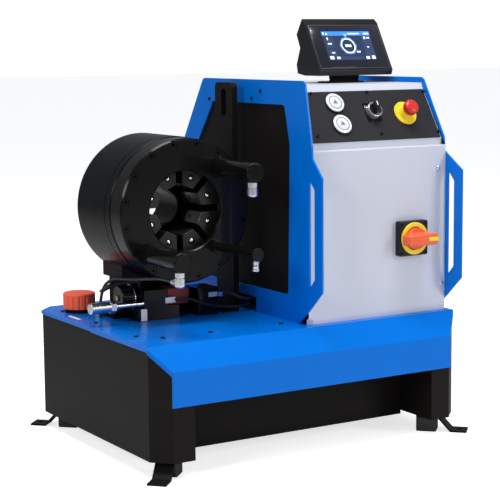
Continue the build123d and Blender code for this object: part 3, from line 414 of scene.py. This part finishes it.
gloss_black = finish("gloss_black", (0.004, 0.004, 0.005), 0.16, grain=500.0, depth=0.00001,
                     strength=0.08, vary=0.1, coat=0.15, coat_rough=0.05, specular=0.16)
red_plastic = finish("red_plastic", (0.62, 0.02, 0.015), 0.3, grain=500.0, depth=0.00002,
                     strength=0.1, vary=0.05, coat=0.3, coat_rough=0.1)
coil_red = finish("coil_red", (0.32, 0.028, 0.018), 0.5, grain=700.0, depth=0.00008, strength=0.3,
                  vary=0.15)
yellow_plastic = finish("yellow_plastic", (0.86, 0.62, 0.02), 0.38, grain=600.0, depth=0.00002,
                        strength=0.1, vary=0.04)
orange_plastic = finish("orange_plastic", (0.95, 0.115, 0.045), 0.42, grain=500.0, depth=0.00008,
                        strength=0.3, vary=0.06, clouds=30.0)
switch_orange = finish("switch_red", (0.80, 0.10, 0.02), 0.32, grain=500.0, depth=0.00002,
                       strength=0.1, vary=0.05, coat=0.3, coat_rough=0.1)
white_label = finish("white_label", (0.78, 0.78, 0.80), 0.5, grain=800.0, depth=0.00001,
                     strength=0.1, vary=0.02)
white_print = finish("white_print", (0.72, 0.73, 0.75), 0.5, grain=800.0, depth=0.00001,
                     strength=0.1, vary=0.02)
white_plastic = finish("white_plastic", (0.82, 0.83, 0.86), 0.3, grain=700.0, depth=0.00002,
                       strength=0.1, vary=0.02, coat=0.2, coat_rough=0.1)
pale_grey = finish("pale_grey", (0.62, 0.64, 0.68), 0.45, grain=800.0, depth=0.00001, strength=0.1,
                   vary=0.02)
print_grey = finish("print_grey", (0.16, 0.17, 0.19), 0.5, grain=800.0, depth=0.00001, strength=0.1,
                    vary=0.04)
grey_edge = finish("grey_edge", (0.055, 0.052, 0.06), 0.35, grain=900.0, depth=0.00002,
                   strength=0.2, vary=0.1)
dark_chrome = finish("dark_chrome", (0.50, 0.52, 0.56), 0.36, metal=0.8, grain=300.0, depth=0.00002,
                     strength=0.1, vary=0.1, clouds=30.0)
cast_grey = finish("cast_grey", (0.10, 0.105, 0.115), 0.6, grain=300.0, depth=0.0002, strength=0.5,
                   vary=0.15)
screen_dark = finish("screen_dark", (0.004, 0.006, 0.014), 0.12, grain=300.0, depth=0.00001,
                     strength=0.02, vary=0.1, coat=0.8, coat_rough=0.03)
screen_blue = glow("screen_blue", (0.02, 0.16, 0.62), 0.9)
screen_panel = glow("screen_panel", (0.008, 0.018, 0.05), 0.5)
screen_white = glow("screen_white", (0.62, 0.70, 0.80), 0.9)
screen_tile = glow("screen_tile", (0.018, 0.030, 0.085), 0.5)
screen_light_blue = glow("screen_light_blue", (0.16, 0.34, 0.80), 0.7)

node_finishes = {
    "top_cover": blue_enamel, "tower_left_plate": blue_enamel, "tower_right_plate": blue_enamel,
    "cover_screws": blackened, "left_side_panel": black_powder, "right_side_panel": black_powder,
    "rear_panel": black_powder, "base_tray": black_powder, "floor_tabs": black_powder,
    "foot_pads": rubber, "front_plate": blackened, "head_housing": oiled_cast,
    "front_bolts": blackened, "pressure_ring": blackened, "return_rods": zinc_plate,
    "return_cylinders": blackened, "position_sensor": blackened, "head_saddle": black_powder,
    "lifting_bar": black_powder, "manifold_block": blackened, "valve_blocks": blackened,
    "solenoid_coil": coil_red, "pressure_knob": gloss_black, "valve_lever": black_plastic,
    "test_coupling": zinc_plate, "cabinet_shell": grey_powder, "control_panel": panel_black,
    "tower_side_lining": black_powder, "tower_back_panel": grey_powder,
    "push_button_upper": white_plastic, "push_button_lower": white_plastic,
    "selector_bezel": gloss_black, "selector_knob": black_plastic, "estop_base": yellow_plastic,
    "estop_stem": red_plastic, "estop_head": red_plastic, "main_switch_base": black_plastic,
    "main_switch_handle": switch_orange, "display_housing": black_plastic,
    "display_screen": screen_dark, "display_arm": black_powder, "filler_cap": orange_plastic,
    "dipstick": zinc_plate, "pump_motor": cast_grey, "drive_coupling": zinc_plate,
    "hydraulic_pump": cast_grey, "oil_tank": black_powder, "control_electrics": cast_grey,
    "hose_fittings": zinc_plate, "return_hose": hose_skin, "pressure_hose": hose_skin,
    "valve_cable": rubber,
}
for node in die_nodes:
    node_finishes[node] = die_steel
for node, material in node_finishes.items():
    for slot in nodes[node].material_slots:
        slot.material = material

# ------------------------------------------------------------------ faces to seat pieces on
def face_frame(node, hint):
    """Matrix at the middle of a node's outermost flat face near a hint, its width and height."""
    hint = Vector(hint).normalized()
    faces = [f for f in nodes[node].data.polygons if f.normal.dot(hint) > 0.8]
    out = max(faces, key=lambda f: f.area).normal.normalized()
    flat = [f for f in faces if f.normal.dot(out) > 0.999]
    reach = max(f.center.dot(out) for f in flat)
    up = (Vector((0, 0, 1)) - out * out.z).normalized()
    across = up.cross(out).normalized()
    points = []
    for face in flat:
        if face.center.dot(out) > reach - 0.0002:
            points += [nodes[node].data.vertices[i].co for i in face.vertices]
    left = min(p.dot(across) for p in points)
    right = max(p.dot(across) for p in points)
    foot = min(p.dot(up) for p in points)
    head = max(p.dot(up) for p in points)
    place = across * (left + right) / 2 + up * (foot + head) / 2 + out * reach
    return frame_at(place, out, up), right - left, head - foot


def at(x, y, z=0.0):
    return Matrix.Translation((x, y, z))


def facing(place, out):
    """Frame at a place with Z along a direction and Y as near upright as can be."""
    out = Vector(out).normalized()
    guide = Vector((0, 0, 1)) if abs(out.z) < 0.9 else Vector((0, 1, 0))
    return frame_at(place, out, (guide - out * guide.dot(out)).normalized())


def straight(mm):
    """A place given in millimetres, in metres."""
    return Vector(mm) * MM


forward = (0, -1, 0)
panel_out = -Vector(joints["button_upper_press"]["axis"]).normalized()
panel_top = (-139.5, 674)
panel_fall = Vector((0, -59.5, -94)).normalized()


def panel_place(x, down, height=3.0):
    """Place on the sloping panel in millimetres: across the machine, and down from its top edge."""
    face = (panel_fall * down + panel_out * height) * MM
    return frame_at(straight((x, *panel_top)) + face, panel_out, -panel_fall)


# ------------------------------------------------------------------ nodes reshaped and bevelled
# bevel width in metres, and its segments
softened = {
    "top_cover": (0.0007, 2), "tower_left_plate": (0.0008, 2), "tower_right_plate": (0.0008, 2),
    "cabinet_shell": (0.0007, 2), "control_panel": (0.0006, 2), "left_side_panel": (0.0007, 2),
    "right_side_panel": (0.0007, 2), "rear_panel": (0.0005, 2), "floor_tabs": (0.0008, 2),
    "foot_pads": (0.0010, 2), "front_plate": (0.0012, 3), "head_housing": (0.0014, 3),
    "head_saddle": (0.0012, 2), "lifting_bar": (0.0010, 2), "return_cylinders": (0.0008, 3),
    "position_sensor": (0.0007, 3), "manifold_block": (0.0010, 2), "valve_blocks": (0.0008, 2),
    "solenoid_coil": (0.0008, 2), "pressure_knob": (0.0010, 2), "valve_lever": (0.0010, 2),
    "test_coupling": (0.0007, 3), "hose_fittings": (0.0006, 2), "selector_knob": (0.0008, 2),
    "estop_base": (0.0006, 3), "main_switch_base": (0.0006, 2), "main_switch_handle": (0.0008, 3),
    "display_housing": (0.0016, 3), "display_arm": (0.0010, 2), "filler_cap": (0.0008, 3),
}
for node in die_nodes:
    softened[node] = (0.0009, 2)
for node in ("tower_back_panel", "tower_side_lining", "control_electrics"):
    softened[node] = (0, 0)

head_axis = straight((-178, 0, 457))
die_seat = 0.0464
die_face = -0.0545

plate_back = 262
cabinet_back = 259
slope_foot = 560
rear_slope = Vector((0, 138, 91)).normalized()
rear_slope_foot = straight((0, plate_back, slope_foot))
shell_setback = 0.0045

# the lifting bar's rear edge and slot, the cabinet's front levels, and how far their points move
bar_rear = 0.060
bar_slot = (0.028, 0.050)
bar_slot_foot = 0.6
bar_narrowing = 0.0115
handle_middle = (0.245, -0.229, 0.390)
handle_growth = (1.16, 1.2, 1.05)
shoulder = (0.549, 0.556)
shoulder_rise = 0.012
lip_level = (0.562, 0.568)
lip_rise = 0.001
plinth_head = 0.252
plinth_setback = 0.007

# the left plate's window: its upright edges, its kinks and how far the points of each level move
window_rear = (0.120, 0.136)
window_front = (-0.150, -0.136)
window_foot = 0.285
kink_foot = 0.552
kink_head = 0.578
window_head = 0.636
plate_head = 0.800
near = 0.0005
window_moves = (
    (window_rear, window_foot, kink_foot + near, 0.072),
    (window_rear, kink_head - near, kink_head + near, 0.0535),
    (window_rear, window_head, plate_head, 0.005),
    (window_front, kink_foot - near, kink_foot + near, -0.0064),
    (window_front, kink_head - near, kink_head + near, -0.007),
    (window_front, window_head, plate_head, 0.009),
)


def within(value, limits):
    return limits[0] < value < limits[1]


def die_outward(index):
    """Direction from the head's axis to a die."""
    turned = math.radians(360 / die_count * (index + 0.5))
    return Vector((math.cos(turned), 0, math.sin(turned)))


def reshape_window(piece):
    """Widens the window and kinks its front and rear edges."""
    for level in (kink_foot, kink_head):
        score(piece, (0, 0, level), (0, 0, 1))
    for edge, foot, head, by in window_moves:
        move_points(piece, lambda p: within(p.y, edge) and foot < p.z < head, (0, by, 0))


def reshape_shell(piece):
    """Lifts the shoulder under the panel and its lip, and brings the plinth in flush."""
    move_points(piece, lambda p: p.y < -0.190 and within(p.z, shoulder), (0, 0, shoulder_rise))
    move_points(piece, lambda p: p.y < -0.180 and within(p.z, lip_level), (0, 0, lip_rise))
    move_points(piece, lambda p: p.y < -0.2185 and p.z < plinth_head, (0, plinth_setback, 0))


def reshape(piece, node):
    """Gives a copy the forms that its node lacks, before its edges are broken."""
    if node == "tower_right_plate":
        cut(piece, rear_slope_foot, rear_slope)
    if node in ("cabinet_shell", "tower_back_panel", "tower_side_lining", "control_electrics"):
        cut(piece, rear_slope_foot - rear_slope * shell_setback, rear_slope)
    if node in die_nodes:
        outward = die_outward(die_nodes.index(node))
        cut(piece, head_axis + outward * die_seat, -outward)
        cut(piece, (0, die_face, 0), forward)
    if node == "lifting_bar":
        move_points(piece, lambda p: p.y > bar_rear, (0, -bar_narrowing, 0))
        in_slot = lambda p: within(p.y, bar_slot) and p.z > bar_slot_foot
        move_points(piece, in_slot, (0, -bar_narrowing / 2, 0))
    if node == "main_switch_handle":
        stretch(piece, handle_middle, handle_growth)
    if node == "cabinet_shell":
        reshape_shell(piece)
    if node == "tower_left_plate":
        reshape_window(piece)


bodies_of = {}
for body, empty in frame["bodies"].items():
    for node, held in nodes.items():
        if held.parent == empty:
            bodies_of[node] = body
for node, (width, segments) in softened.items():
    piece = cad_copy(node, node + "_softened")
    reshape(piece, node)
    if width:
        soften(piece, width, segments, 30)
    piece.data.materials.clear()
    piece.data.materials.append(node_finishes[node])
    if node in die_nodes:
        piece.data.materials.append(seat_steel)
        inward = -die_outward(die_nodes.index(node))
        for face in piece.data.polygons:
            face.material_index = int(face.normal.dot(inward) > 0.9)
    shade(piece, 30)
    level = piece.modifiers.new("level", "WEIGHTED_NORMAL")
    level.keep_sharp = True
    level.weight = 80
    apply_modifiers(piece)
    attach(piece, bodies_of[node])
    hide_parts(node)

sheet = 0.002
slope_length = 0.1525
cabinet_sides = (9.3, 332.7)
slope_top = (175.3, 687)
slope_width = high("cabinet_shell").x - low("cabinet_shell").x
slope_sheet = plate("rear_slope_sheet", slope_width, slope_length, sheet, 0.0005)
slope_middle = straight(
    (sum(cabinet_sides) / 2, (cabinet_back + slope_top[0]) / 2, (slope_foot + slope_top[1]) / 2)
)
settle(slope_sheet, facing(slope_middle - rear_slope * sheet, rear_slope), "machine", grey_powder)

# ------------------------------------------------------------------ die catches
ball_plane = -0.0528
ball_ring = 0.065
ball_r = 0.0051
recess_shade_rise = 0.0015
socket_y = -0.016
deselect()
bpy.ops.mesh.primitive_uv_sphere_add(segments=28, ring_count=18, radius=ball_r)
ball = begin("die_catch_1")
open_whole(ball)
bpy.ops.mesh.bisect(plane_co=(0, 0, 0.001), plane_no=(0, 0, 1), clear_inner=True, use_fill=True)
leave_edit()
# dark ring round each ball: painted shade of the recess the ball sits in
recess_shade_ring = washer("die_catch_recess_shade_1", 0.0068, 0.0046, 0.0005, 0.0002, 40)
# dark disc on each die's seat: painted shade of a socket's opening, no hole is cut
socket_shade_disc = disc("die_socket_shade_1", 0.0042, 0.0002, 0.0001, 32)
for piece, material in ((ball, chrome), (recess_shade_ring, blackened), (socket_shade_disc, rubber)):
    piece.data.materials.append(material)
    shade(piece, 40)
for index in range(die_count):
    number = str(index + 1)
    body = "die_body_" + number
    outward = die_outward(index)
    centre = head_axis + outward * ball_ring
    centre.y = ball_plane
    copy_piece(ball, "die_ball_" + number, facing(centre, forward), body)
    # the dark ring round the ball, painted shade of its recess
    centre.y = ball_plane - recess_shade_rise
    copy_piece(recess_shade_ring, "die_ball_recess_shade_" + number, facing(centre, forward), body)
    # the dark disc on the seat, painted shade of the socket's opening
    centre = head_axis + outward * die_seat
    centre.y = socket_y
    copy_piece(socket_shade_disc, "die_socket_" + number, facing(centre, -outward), body)
for piece in (ball, recess_shade_ring, socket_shade_disc):
    bpy.data.objects.remove(piece)

# ------------------------------------------------------------------ push buttons
thin_edge = 0.0001
for node, body in (("push_button_upper", "button_upper"), ("push_button_lower", "button_lower")):
    seat = face_frame(node, panel_out)[0]
    settle(disc(node + "_face", 0.0178, 0.0003, thin_edge, 64), seat, body, white_plastic)
    settle(washer(node + "_ring", 0.0146, 0.0126, 0.00045, thin_edge, 64), seat, body, print_grey)
    settle(disc(node + "_centre", 0.0122, 0.0004, thin_edge, 48), seat, body, pale_grey)
    settle(disc(node + "_mark", 0.0062, 0.00055, 0.0, 3), seat, body, print_grey)

# ------------------------------------------------------------------ selector
selector_place = (186, 50)
selector_dot = (172.5, 37.5)
bezel_rise = 5.0
tube_height = 0.0112
seat = panel_place(*selector_place, bezel_rise)
tube = washer("selector_tube", 0.0158, 0.0122, tube_height, 0.0005, 64)
settle(tube, seat, "machine", dark_chrome)
rim = washer("selector_rim", 0.0152, 0.0124, 0.0006, 0.0002, 64)
settle(rim, seat @ at(0, 0, tube_height), "machine", chrome)
dot = disc("selector_plate_dot", 0.0022, 0.0004, thin_edge, 24)
settle(dot, panel_place(*selector_dot, bezel_rise), "machine", chrome)
seat = face_frame("selector_knob", panel_out)[0]
pointer = plate("selector_pointer", 0.0022, 0.009, 0.0004, thin_edge)
settle(pointer, seat @ at(0, 0.0065), "selector", white_print)

# ------------------------------------------------------------------ main switch
switch_screw_reach = 0.0285
seat = face_frame("main_switch_base", forward)[0]
settle(washer("switch_dial", 0.0312, 0.0226, 0.0006, 0.0002, 72), seat, "machine", yellow_plastic)
rim = washer("switch_dial_rim", 0.0314, 0.0309, 0.0032, 0.0002, 72)
settle(rim, seat @ at(0, 0, -0.003), "machine", yellow_plastic)
seat = face_frame("main_switch_handle", forward)[0]
insert = plate("switch_insert", 0.024, 0.0075, 0.0007, 0.0002)
settle(insert, seat @ at(0.0235, 0.0005, 0.0048), "main_switch", yellow_plastic)
for name, side_x, side_z in (("a", -1, 1), ("b", 1, 1), ("c", -1, -1), ("d", 1, -1)):
    screw = socket_screw("switch_screw_" + name, 0.0030, 0.0010, 0.0014)
    place = middle("main_switch_base") + Vector((side_x, 0, side_z)) * switch_screw_reach
    place.y = low("main_switch_base").y + 0.003
    settle(screw, facing(place, forward), "machine", blackened)

# ------------------------------------------------------------------ display
glass_margin = 0.011
glass_thickness = 0.0006
housing_face, face_width, face_height = face_frame("display_housing", (0, -1, 0.6))
glass_width = face_width - glass_margin
glass_height = face_height - glass_margin
glass_pane = plate("display_glass", glass_width, glass_height, glass_thickness, 0.0003)
settle(glass_pane, housing_face, "display", screen_dark)
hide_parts("display_screen")
glass = housing_face @ at(0, 0, glass_thickness)
# the lit area, as shares of the glass
active_width = glass_width * 0.705
active_height = glass_height * 0.69
active_rise = glass_height * 0.015
active = glass @ at(0, active_rise)


def on_screen(name, left, foot, width, height, material, thick=0.00016):
    """Flat block on the lit area, placed by shares of it from its lower left corner."""
    tile = plate("screen_" + name, width * active_width, height * active_height, thick)
    middle_x = (left + width / 2 - 0.5) * active_width
    middle_y = (foot + height / 2 - 0.5) * active_height
    settle(tile, active @ at(middle_x, middle_y), "display", material)


on_screen("page", 0, 0, 1, 1, screen_panel, 0.00008)
on_screen("bar", 0, 0.855, 1, 0.145, screen_blue)
# name, left, foot, width and height, as shares of the lit area
screen_tiles = (
    ("column", 0.80, 0.12, 0.19, 0.72), ("box", 0.04, 0.44, 0.16, 0.38),
    ("box_low", 0.04, 0.14, 0.16, 0.22), ("strip", 0.24, 0.03, 0.48, 0.09),
)
screen_marks = (
    ("mark_a", 0.025, 0.89, 0.022, 0.08), ("mark_b", 0.085, 0.885, 0.03, 0.06),
    ("mark_c", 0.54, 0.90, 0.24, 0.04), ("mark_d", 0.87, 0.895, 0.11, 0.05),
    ("mark_e", 0.08, 0.70, 0.02, 0.09), ("mark_f", 0.07, 0.55, 0.08, 0.045),
    ("mark_g", 0.10, 0.24, 0.06, 0.04), ("mark_h", 0.03, 0.04, 0.08, 0.10),
    ("mark_i", 0.17, 0.045, 0.065, 0.075), ("mark_j", 0.62, 0.26, 0.075, 0.055),
    ("mark_k", 0.85, 0.73, 0.035, 0.085), ("mark_l", 0.91, 0.75, 0.06, 0.05),
    ("mark_m", 0.87, 0.43, 0.035, 0.04), ("mark_n", 0.78, 0.035, 0.07, 0.09),
    ("mark_o", 0.90, 0.035, 0.07, 0.11),
)
for shape in screen_tiles:
    on_screen(*shape, screen_tile, 0.00012)
for shape in screen_marks:
    on_screen(*shape, screen_white, 0.00022)

dial_at = active @ at(-0.020 * active_width, 0.0)
dial = washer("screen_dial", 0.0168, 0.0146, 0.00018, 0, 64)
settle(dial, dial_at, "display", screen_white)
dial = washer("screen_dial_tick", 0.0190, 0.0180, 0.00014, 0, 64)
settle(dial, dial_at, "display", screen_light_blue)
for index in range(4):
    digit = plate("screen_digit_" + str(index), 0.0028, 0.0058, 0.0002)
    settle(digit, dial_at @ at(-0.0058 + 0.0039 * index, 0.0), "display", screen_white)
for index in range(6):
    spin = Matrix.Rotation(math.radians(60 * index + 30), 4, "Z")
    knot = plate("screen_knot_" + str(index), 0.0042, 0.0024, 0.0002)
    settle(knot, dial_at @ spin @ at(0, 0.0186), "display", screen_light_blue)
half_turn = Matrix.Rotation(math.radians(180), 4, "Z")
peak = disc("screen_pointer", 0.0062, 0.0002, 0, 3)
settle(peak, dial_at @ at(0, 0.0245) @ half_turn, "display", screen_light_blue)

lip = 0.0016
lip_width = glass_width + 0.0030
lip_height = glass_height + 0.0030
lip_gap = 0.0026
for name, x, y, width, height in (
    ("top", 0, 1, lip_width, lip), ("foot", 0, -1, lip_width, lip),
    ("left", -1, 0, lip, lip_height), ("right", 1, 0, lip, lip_height),
):
    strip = plate("display_lip_" + name, width, height, 0.0005, 0.0002)
    place = at(x * (glass_width + lip_gap) / 2, y * (glass_height + lip_gap) / 2, -glass_thickness)
    settle(strip, glass @ place, "display", grey_edge)

# ------------------------------------------------------------------ pressure knob
knob_low, knob_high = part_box("pressure_knob")
knob_y = (knob_low.y + knob_high.y) / 2
knob_z = (knob_low.z + knob_high.z) / 2
dish = washer("knob_washer", 0.0262, 0.0100, 0.0024, 0.0008, 64)
settle(dish, facing(Vector((knob_high.x - 0.0005, knob_y, knob_z)), (1, 0, 0)), "knob", chrome)
sleeve = washer("knob_spindle", 0.0088, 0.0045, 0.0100, 0.0006, 48)
settle(sleeve, facing(Vector((knob_high.x + 0.0014, knob_y, knob_z)), (1, 0, 0)), "machine", chrome)
screw = socket_screw("knob_screw", 0.0058, 0.0030, 0.0026)
settle(screw, facing(Vector((knob_low.x, knob_y, knob_z)), (-1, 0, 0)), "knob", brass)

# ------------------------------------------------------------------ plug under the position sensor
sensor_low, sensor_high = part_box("position_sensor")
sensor_x = (sensor_low.x + sensor_high.x) / 2
sensor_z = (sensor_low.z + sensor_high.z) / 2
plug_top = Vector((sensor_x, sensor_low.y + 0.010, sensor_z - 0.0105))
for name, radius, height, drop, sides in (
    ("nut", 0.0068, 0.0075, 0.0, 6), ("body", 0.0056, 0.0090, 0.0075, 32),
    ("end", 0.0066, 0.0040, 0.0165, 32),
):
    piece = disc("sensor_plug_" + name, radius, height, 0.0006, sides)
    settle(piece, facing(plug_top - Vector((0, 0, drop)), (0, 0, -1)), "machine", zinc_plate)

# ------------------------------------------------------------------ small screws, in millimetres
panel_screws = ((60, 4.5), (42, 97), (190, 5), (190, 98), (327, 7), (327, 99))
cabinet_front = -212
cabinet_screws = ((312.6, 522.6), (325, 293.6))
left_plate_face = 5
plate_screws = ((145, 656), (-20, 661), (-52, 676))
for index, (x, down) in enumerate(panel_screws):
    screw = socket_screw("panel_screw_" + str(index), 0.0034, 0.0018, 0.0016)
    settle(screw, panel_place(x, down), "machine", gloss_black)
for index, (x, z) in enumerate(cabinet_screws):
    screw = socket_screw("cabinet_screw_" + str(index), 0.0042, 0.0026, 0.0018)
    settle(screw, facing(straight((x, cabinet_front, z)), forward), "machine", chrome)
for index, (y, z) in enumerate(plate_screws):
    screw = socket_screw("plate_screw_" + str(index), 0.0034, 0.0022, 0.0016)
    settle(screw, facing(straight((left_plate_face, y, z)), (-1, 0, 0)), "machine", gloss_black)

# ------------------------------------------------------------------ bare plates, in millimetres
for name, node, x, z, width, height in (
    ("block", "valve_blocks", -174.6, 277.5, 22.0, 11.0),
    ("block_right", "valve_blocks", -80.0, 280.0, 20.0, 9.0),
    ("manifold", "manifold_block", -229.0, 252.5, 13.0, 23.0),
):
    label = plate("bare_plate_" + name, width * MM, height * MM, 0.0005, 0.0002)
    place = straight((x, 0, z))
    place.y = low(node).y
    settle(label, facing(place, forward), "machine", white_label)
label = plate("bare_plate_cover", 0.008, 0.048, 0.0004, 0.0002)
settle(label, at(-0.323, 0.113, 0.240), "machine", white_label)

# ------------------------------------------------------------------ camera, floor and light
camera_place = (-1.55291, -2.56249, 0.77110)
camera_lens = 109.61
camera_turn = -31.38
camera_fall = 7.80
camera_roll = -0.49
camera_data = bpy.data.cameras.new("view")
camera = bpy.data.objects.new("view", camera_data)
bpy.context.scene.collection.objects.link(camera)
camera_data.sensor_width = 36
camera_data.lens = camera_lens
camera_data.clip_end = 100
turn = Matrix.Rotation(math.radians(camera_turn), 4, "Z")
tilt = Matrix.Rotation(math.radians(90 - camera_fall), 4, "X")
roll = Matrix.Rotation(math.radians(camera_roll), 4, "Z")
camera.matrix_world = Matrix.Translation(camera_place) @ turn @ tilt @ roll
bpy.context.scene.camera = camera

floor_glow = 0.72
floor_size = 60
deselect()
bpy.ops.mesh.primitive_plane_add(size=floor_size, location=(0, 0, 0))
floor = begin("floor")
pale_floor = finish("pale_floor", (0.80, 0.80, 0.80), 0.8, grain=40.0, depth=0.0001, strength=0.05,
                    vary=0.01, clouds=2.0)
floor_tree = pale_floor.node_tree
floor_shader = floor_tree.nodes["Principled BSDF"]
floor_shader.inputs["Emission Color"].default_value = (1, 1, 1, 1)
seen = floor_tree.nodes.new("ShaderNodeLightPath")
lift = floor_tree.nodes.new("ShaderNodeMath")
lift.operation = "MULTIPLY"
lift.inputs[1].default_value = floor_glow
floor_tree.links.new(seen.outputs["Is Camera Ray"], lift.inputs[0])
floor_tree.links.new(lift.outputs["Value"], floor_shader.inputs["Emission Strength"])
floor.data.materials.append(pale_floor)

world = bpy.data.worlds.new("studio")
bpy.context.scene.world = world
world.use_nodes = True
sky = world.node_tree
dim = sky.nodes["Background"]
dim.inputs["Color"].default_value = (0.90, 0.94, 1.0, 1)
dim.inputs["Strength"].default_value = 0.30
bright = sky.nodes.new("ShaderNodeBackground")
bright.inputs["Color"].default_value = (1, 1, 1, 1)
bright.inputs["Strength"].default_value = 1.0
rays = sky.nodes.new("ShaderNodeLightPath")
pick_sky = sky.nodes.new("ShaderNodeMixShader")
sky.links.new(rays.outputs["Is Camera Ray"], pick_sky.inputs["Fac"])
sky.links.new(dim.outputs["Background"], pick_sky.inputs[1])
sky.links.new(bright.outputs["Background"], pick_sky.inputs[2])
sky.links.new(pick_sky.outputs["Shader"], sky.nodes["World Output"].inputs["Surface"])
bpy.context.scene.view_settings.view_transform = "Standard"


def softbox(name, place, aim, width, length, power):
    data = bpy.data.lights.new(name, "AREA")
    data.shape = "RECTANGLE"
    data.size = width
    data.size_y = length
    data.energy = power
    data.color = (1, 1, 1)
    lamp = bpy.data.objects.new(name, data)
    bpy.context.scene.collection.objects.link(lamp)
    lamp.location = place
    lamp.rotation_euler = (Vector(aim) - Vector(place)).to_track_quat("-Z", "Y").to_euler()


softbox("overhead", (-0.3, -0.5, 3.0), (0, 0, 0.3), 2.4, 0.8, 86)
softbox("front_right", (2.2, -3.4, 1.7), (0.1, 0, 0.4), 1.0, 1.8, 50)
softbox("front_left", (-3.4, -1.5, 2.0), (-0.1, 0, 0.4), 0.7, 1.2, 34)
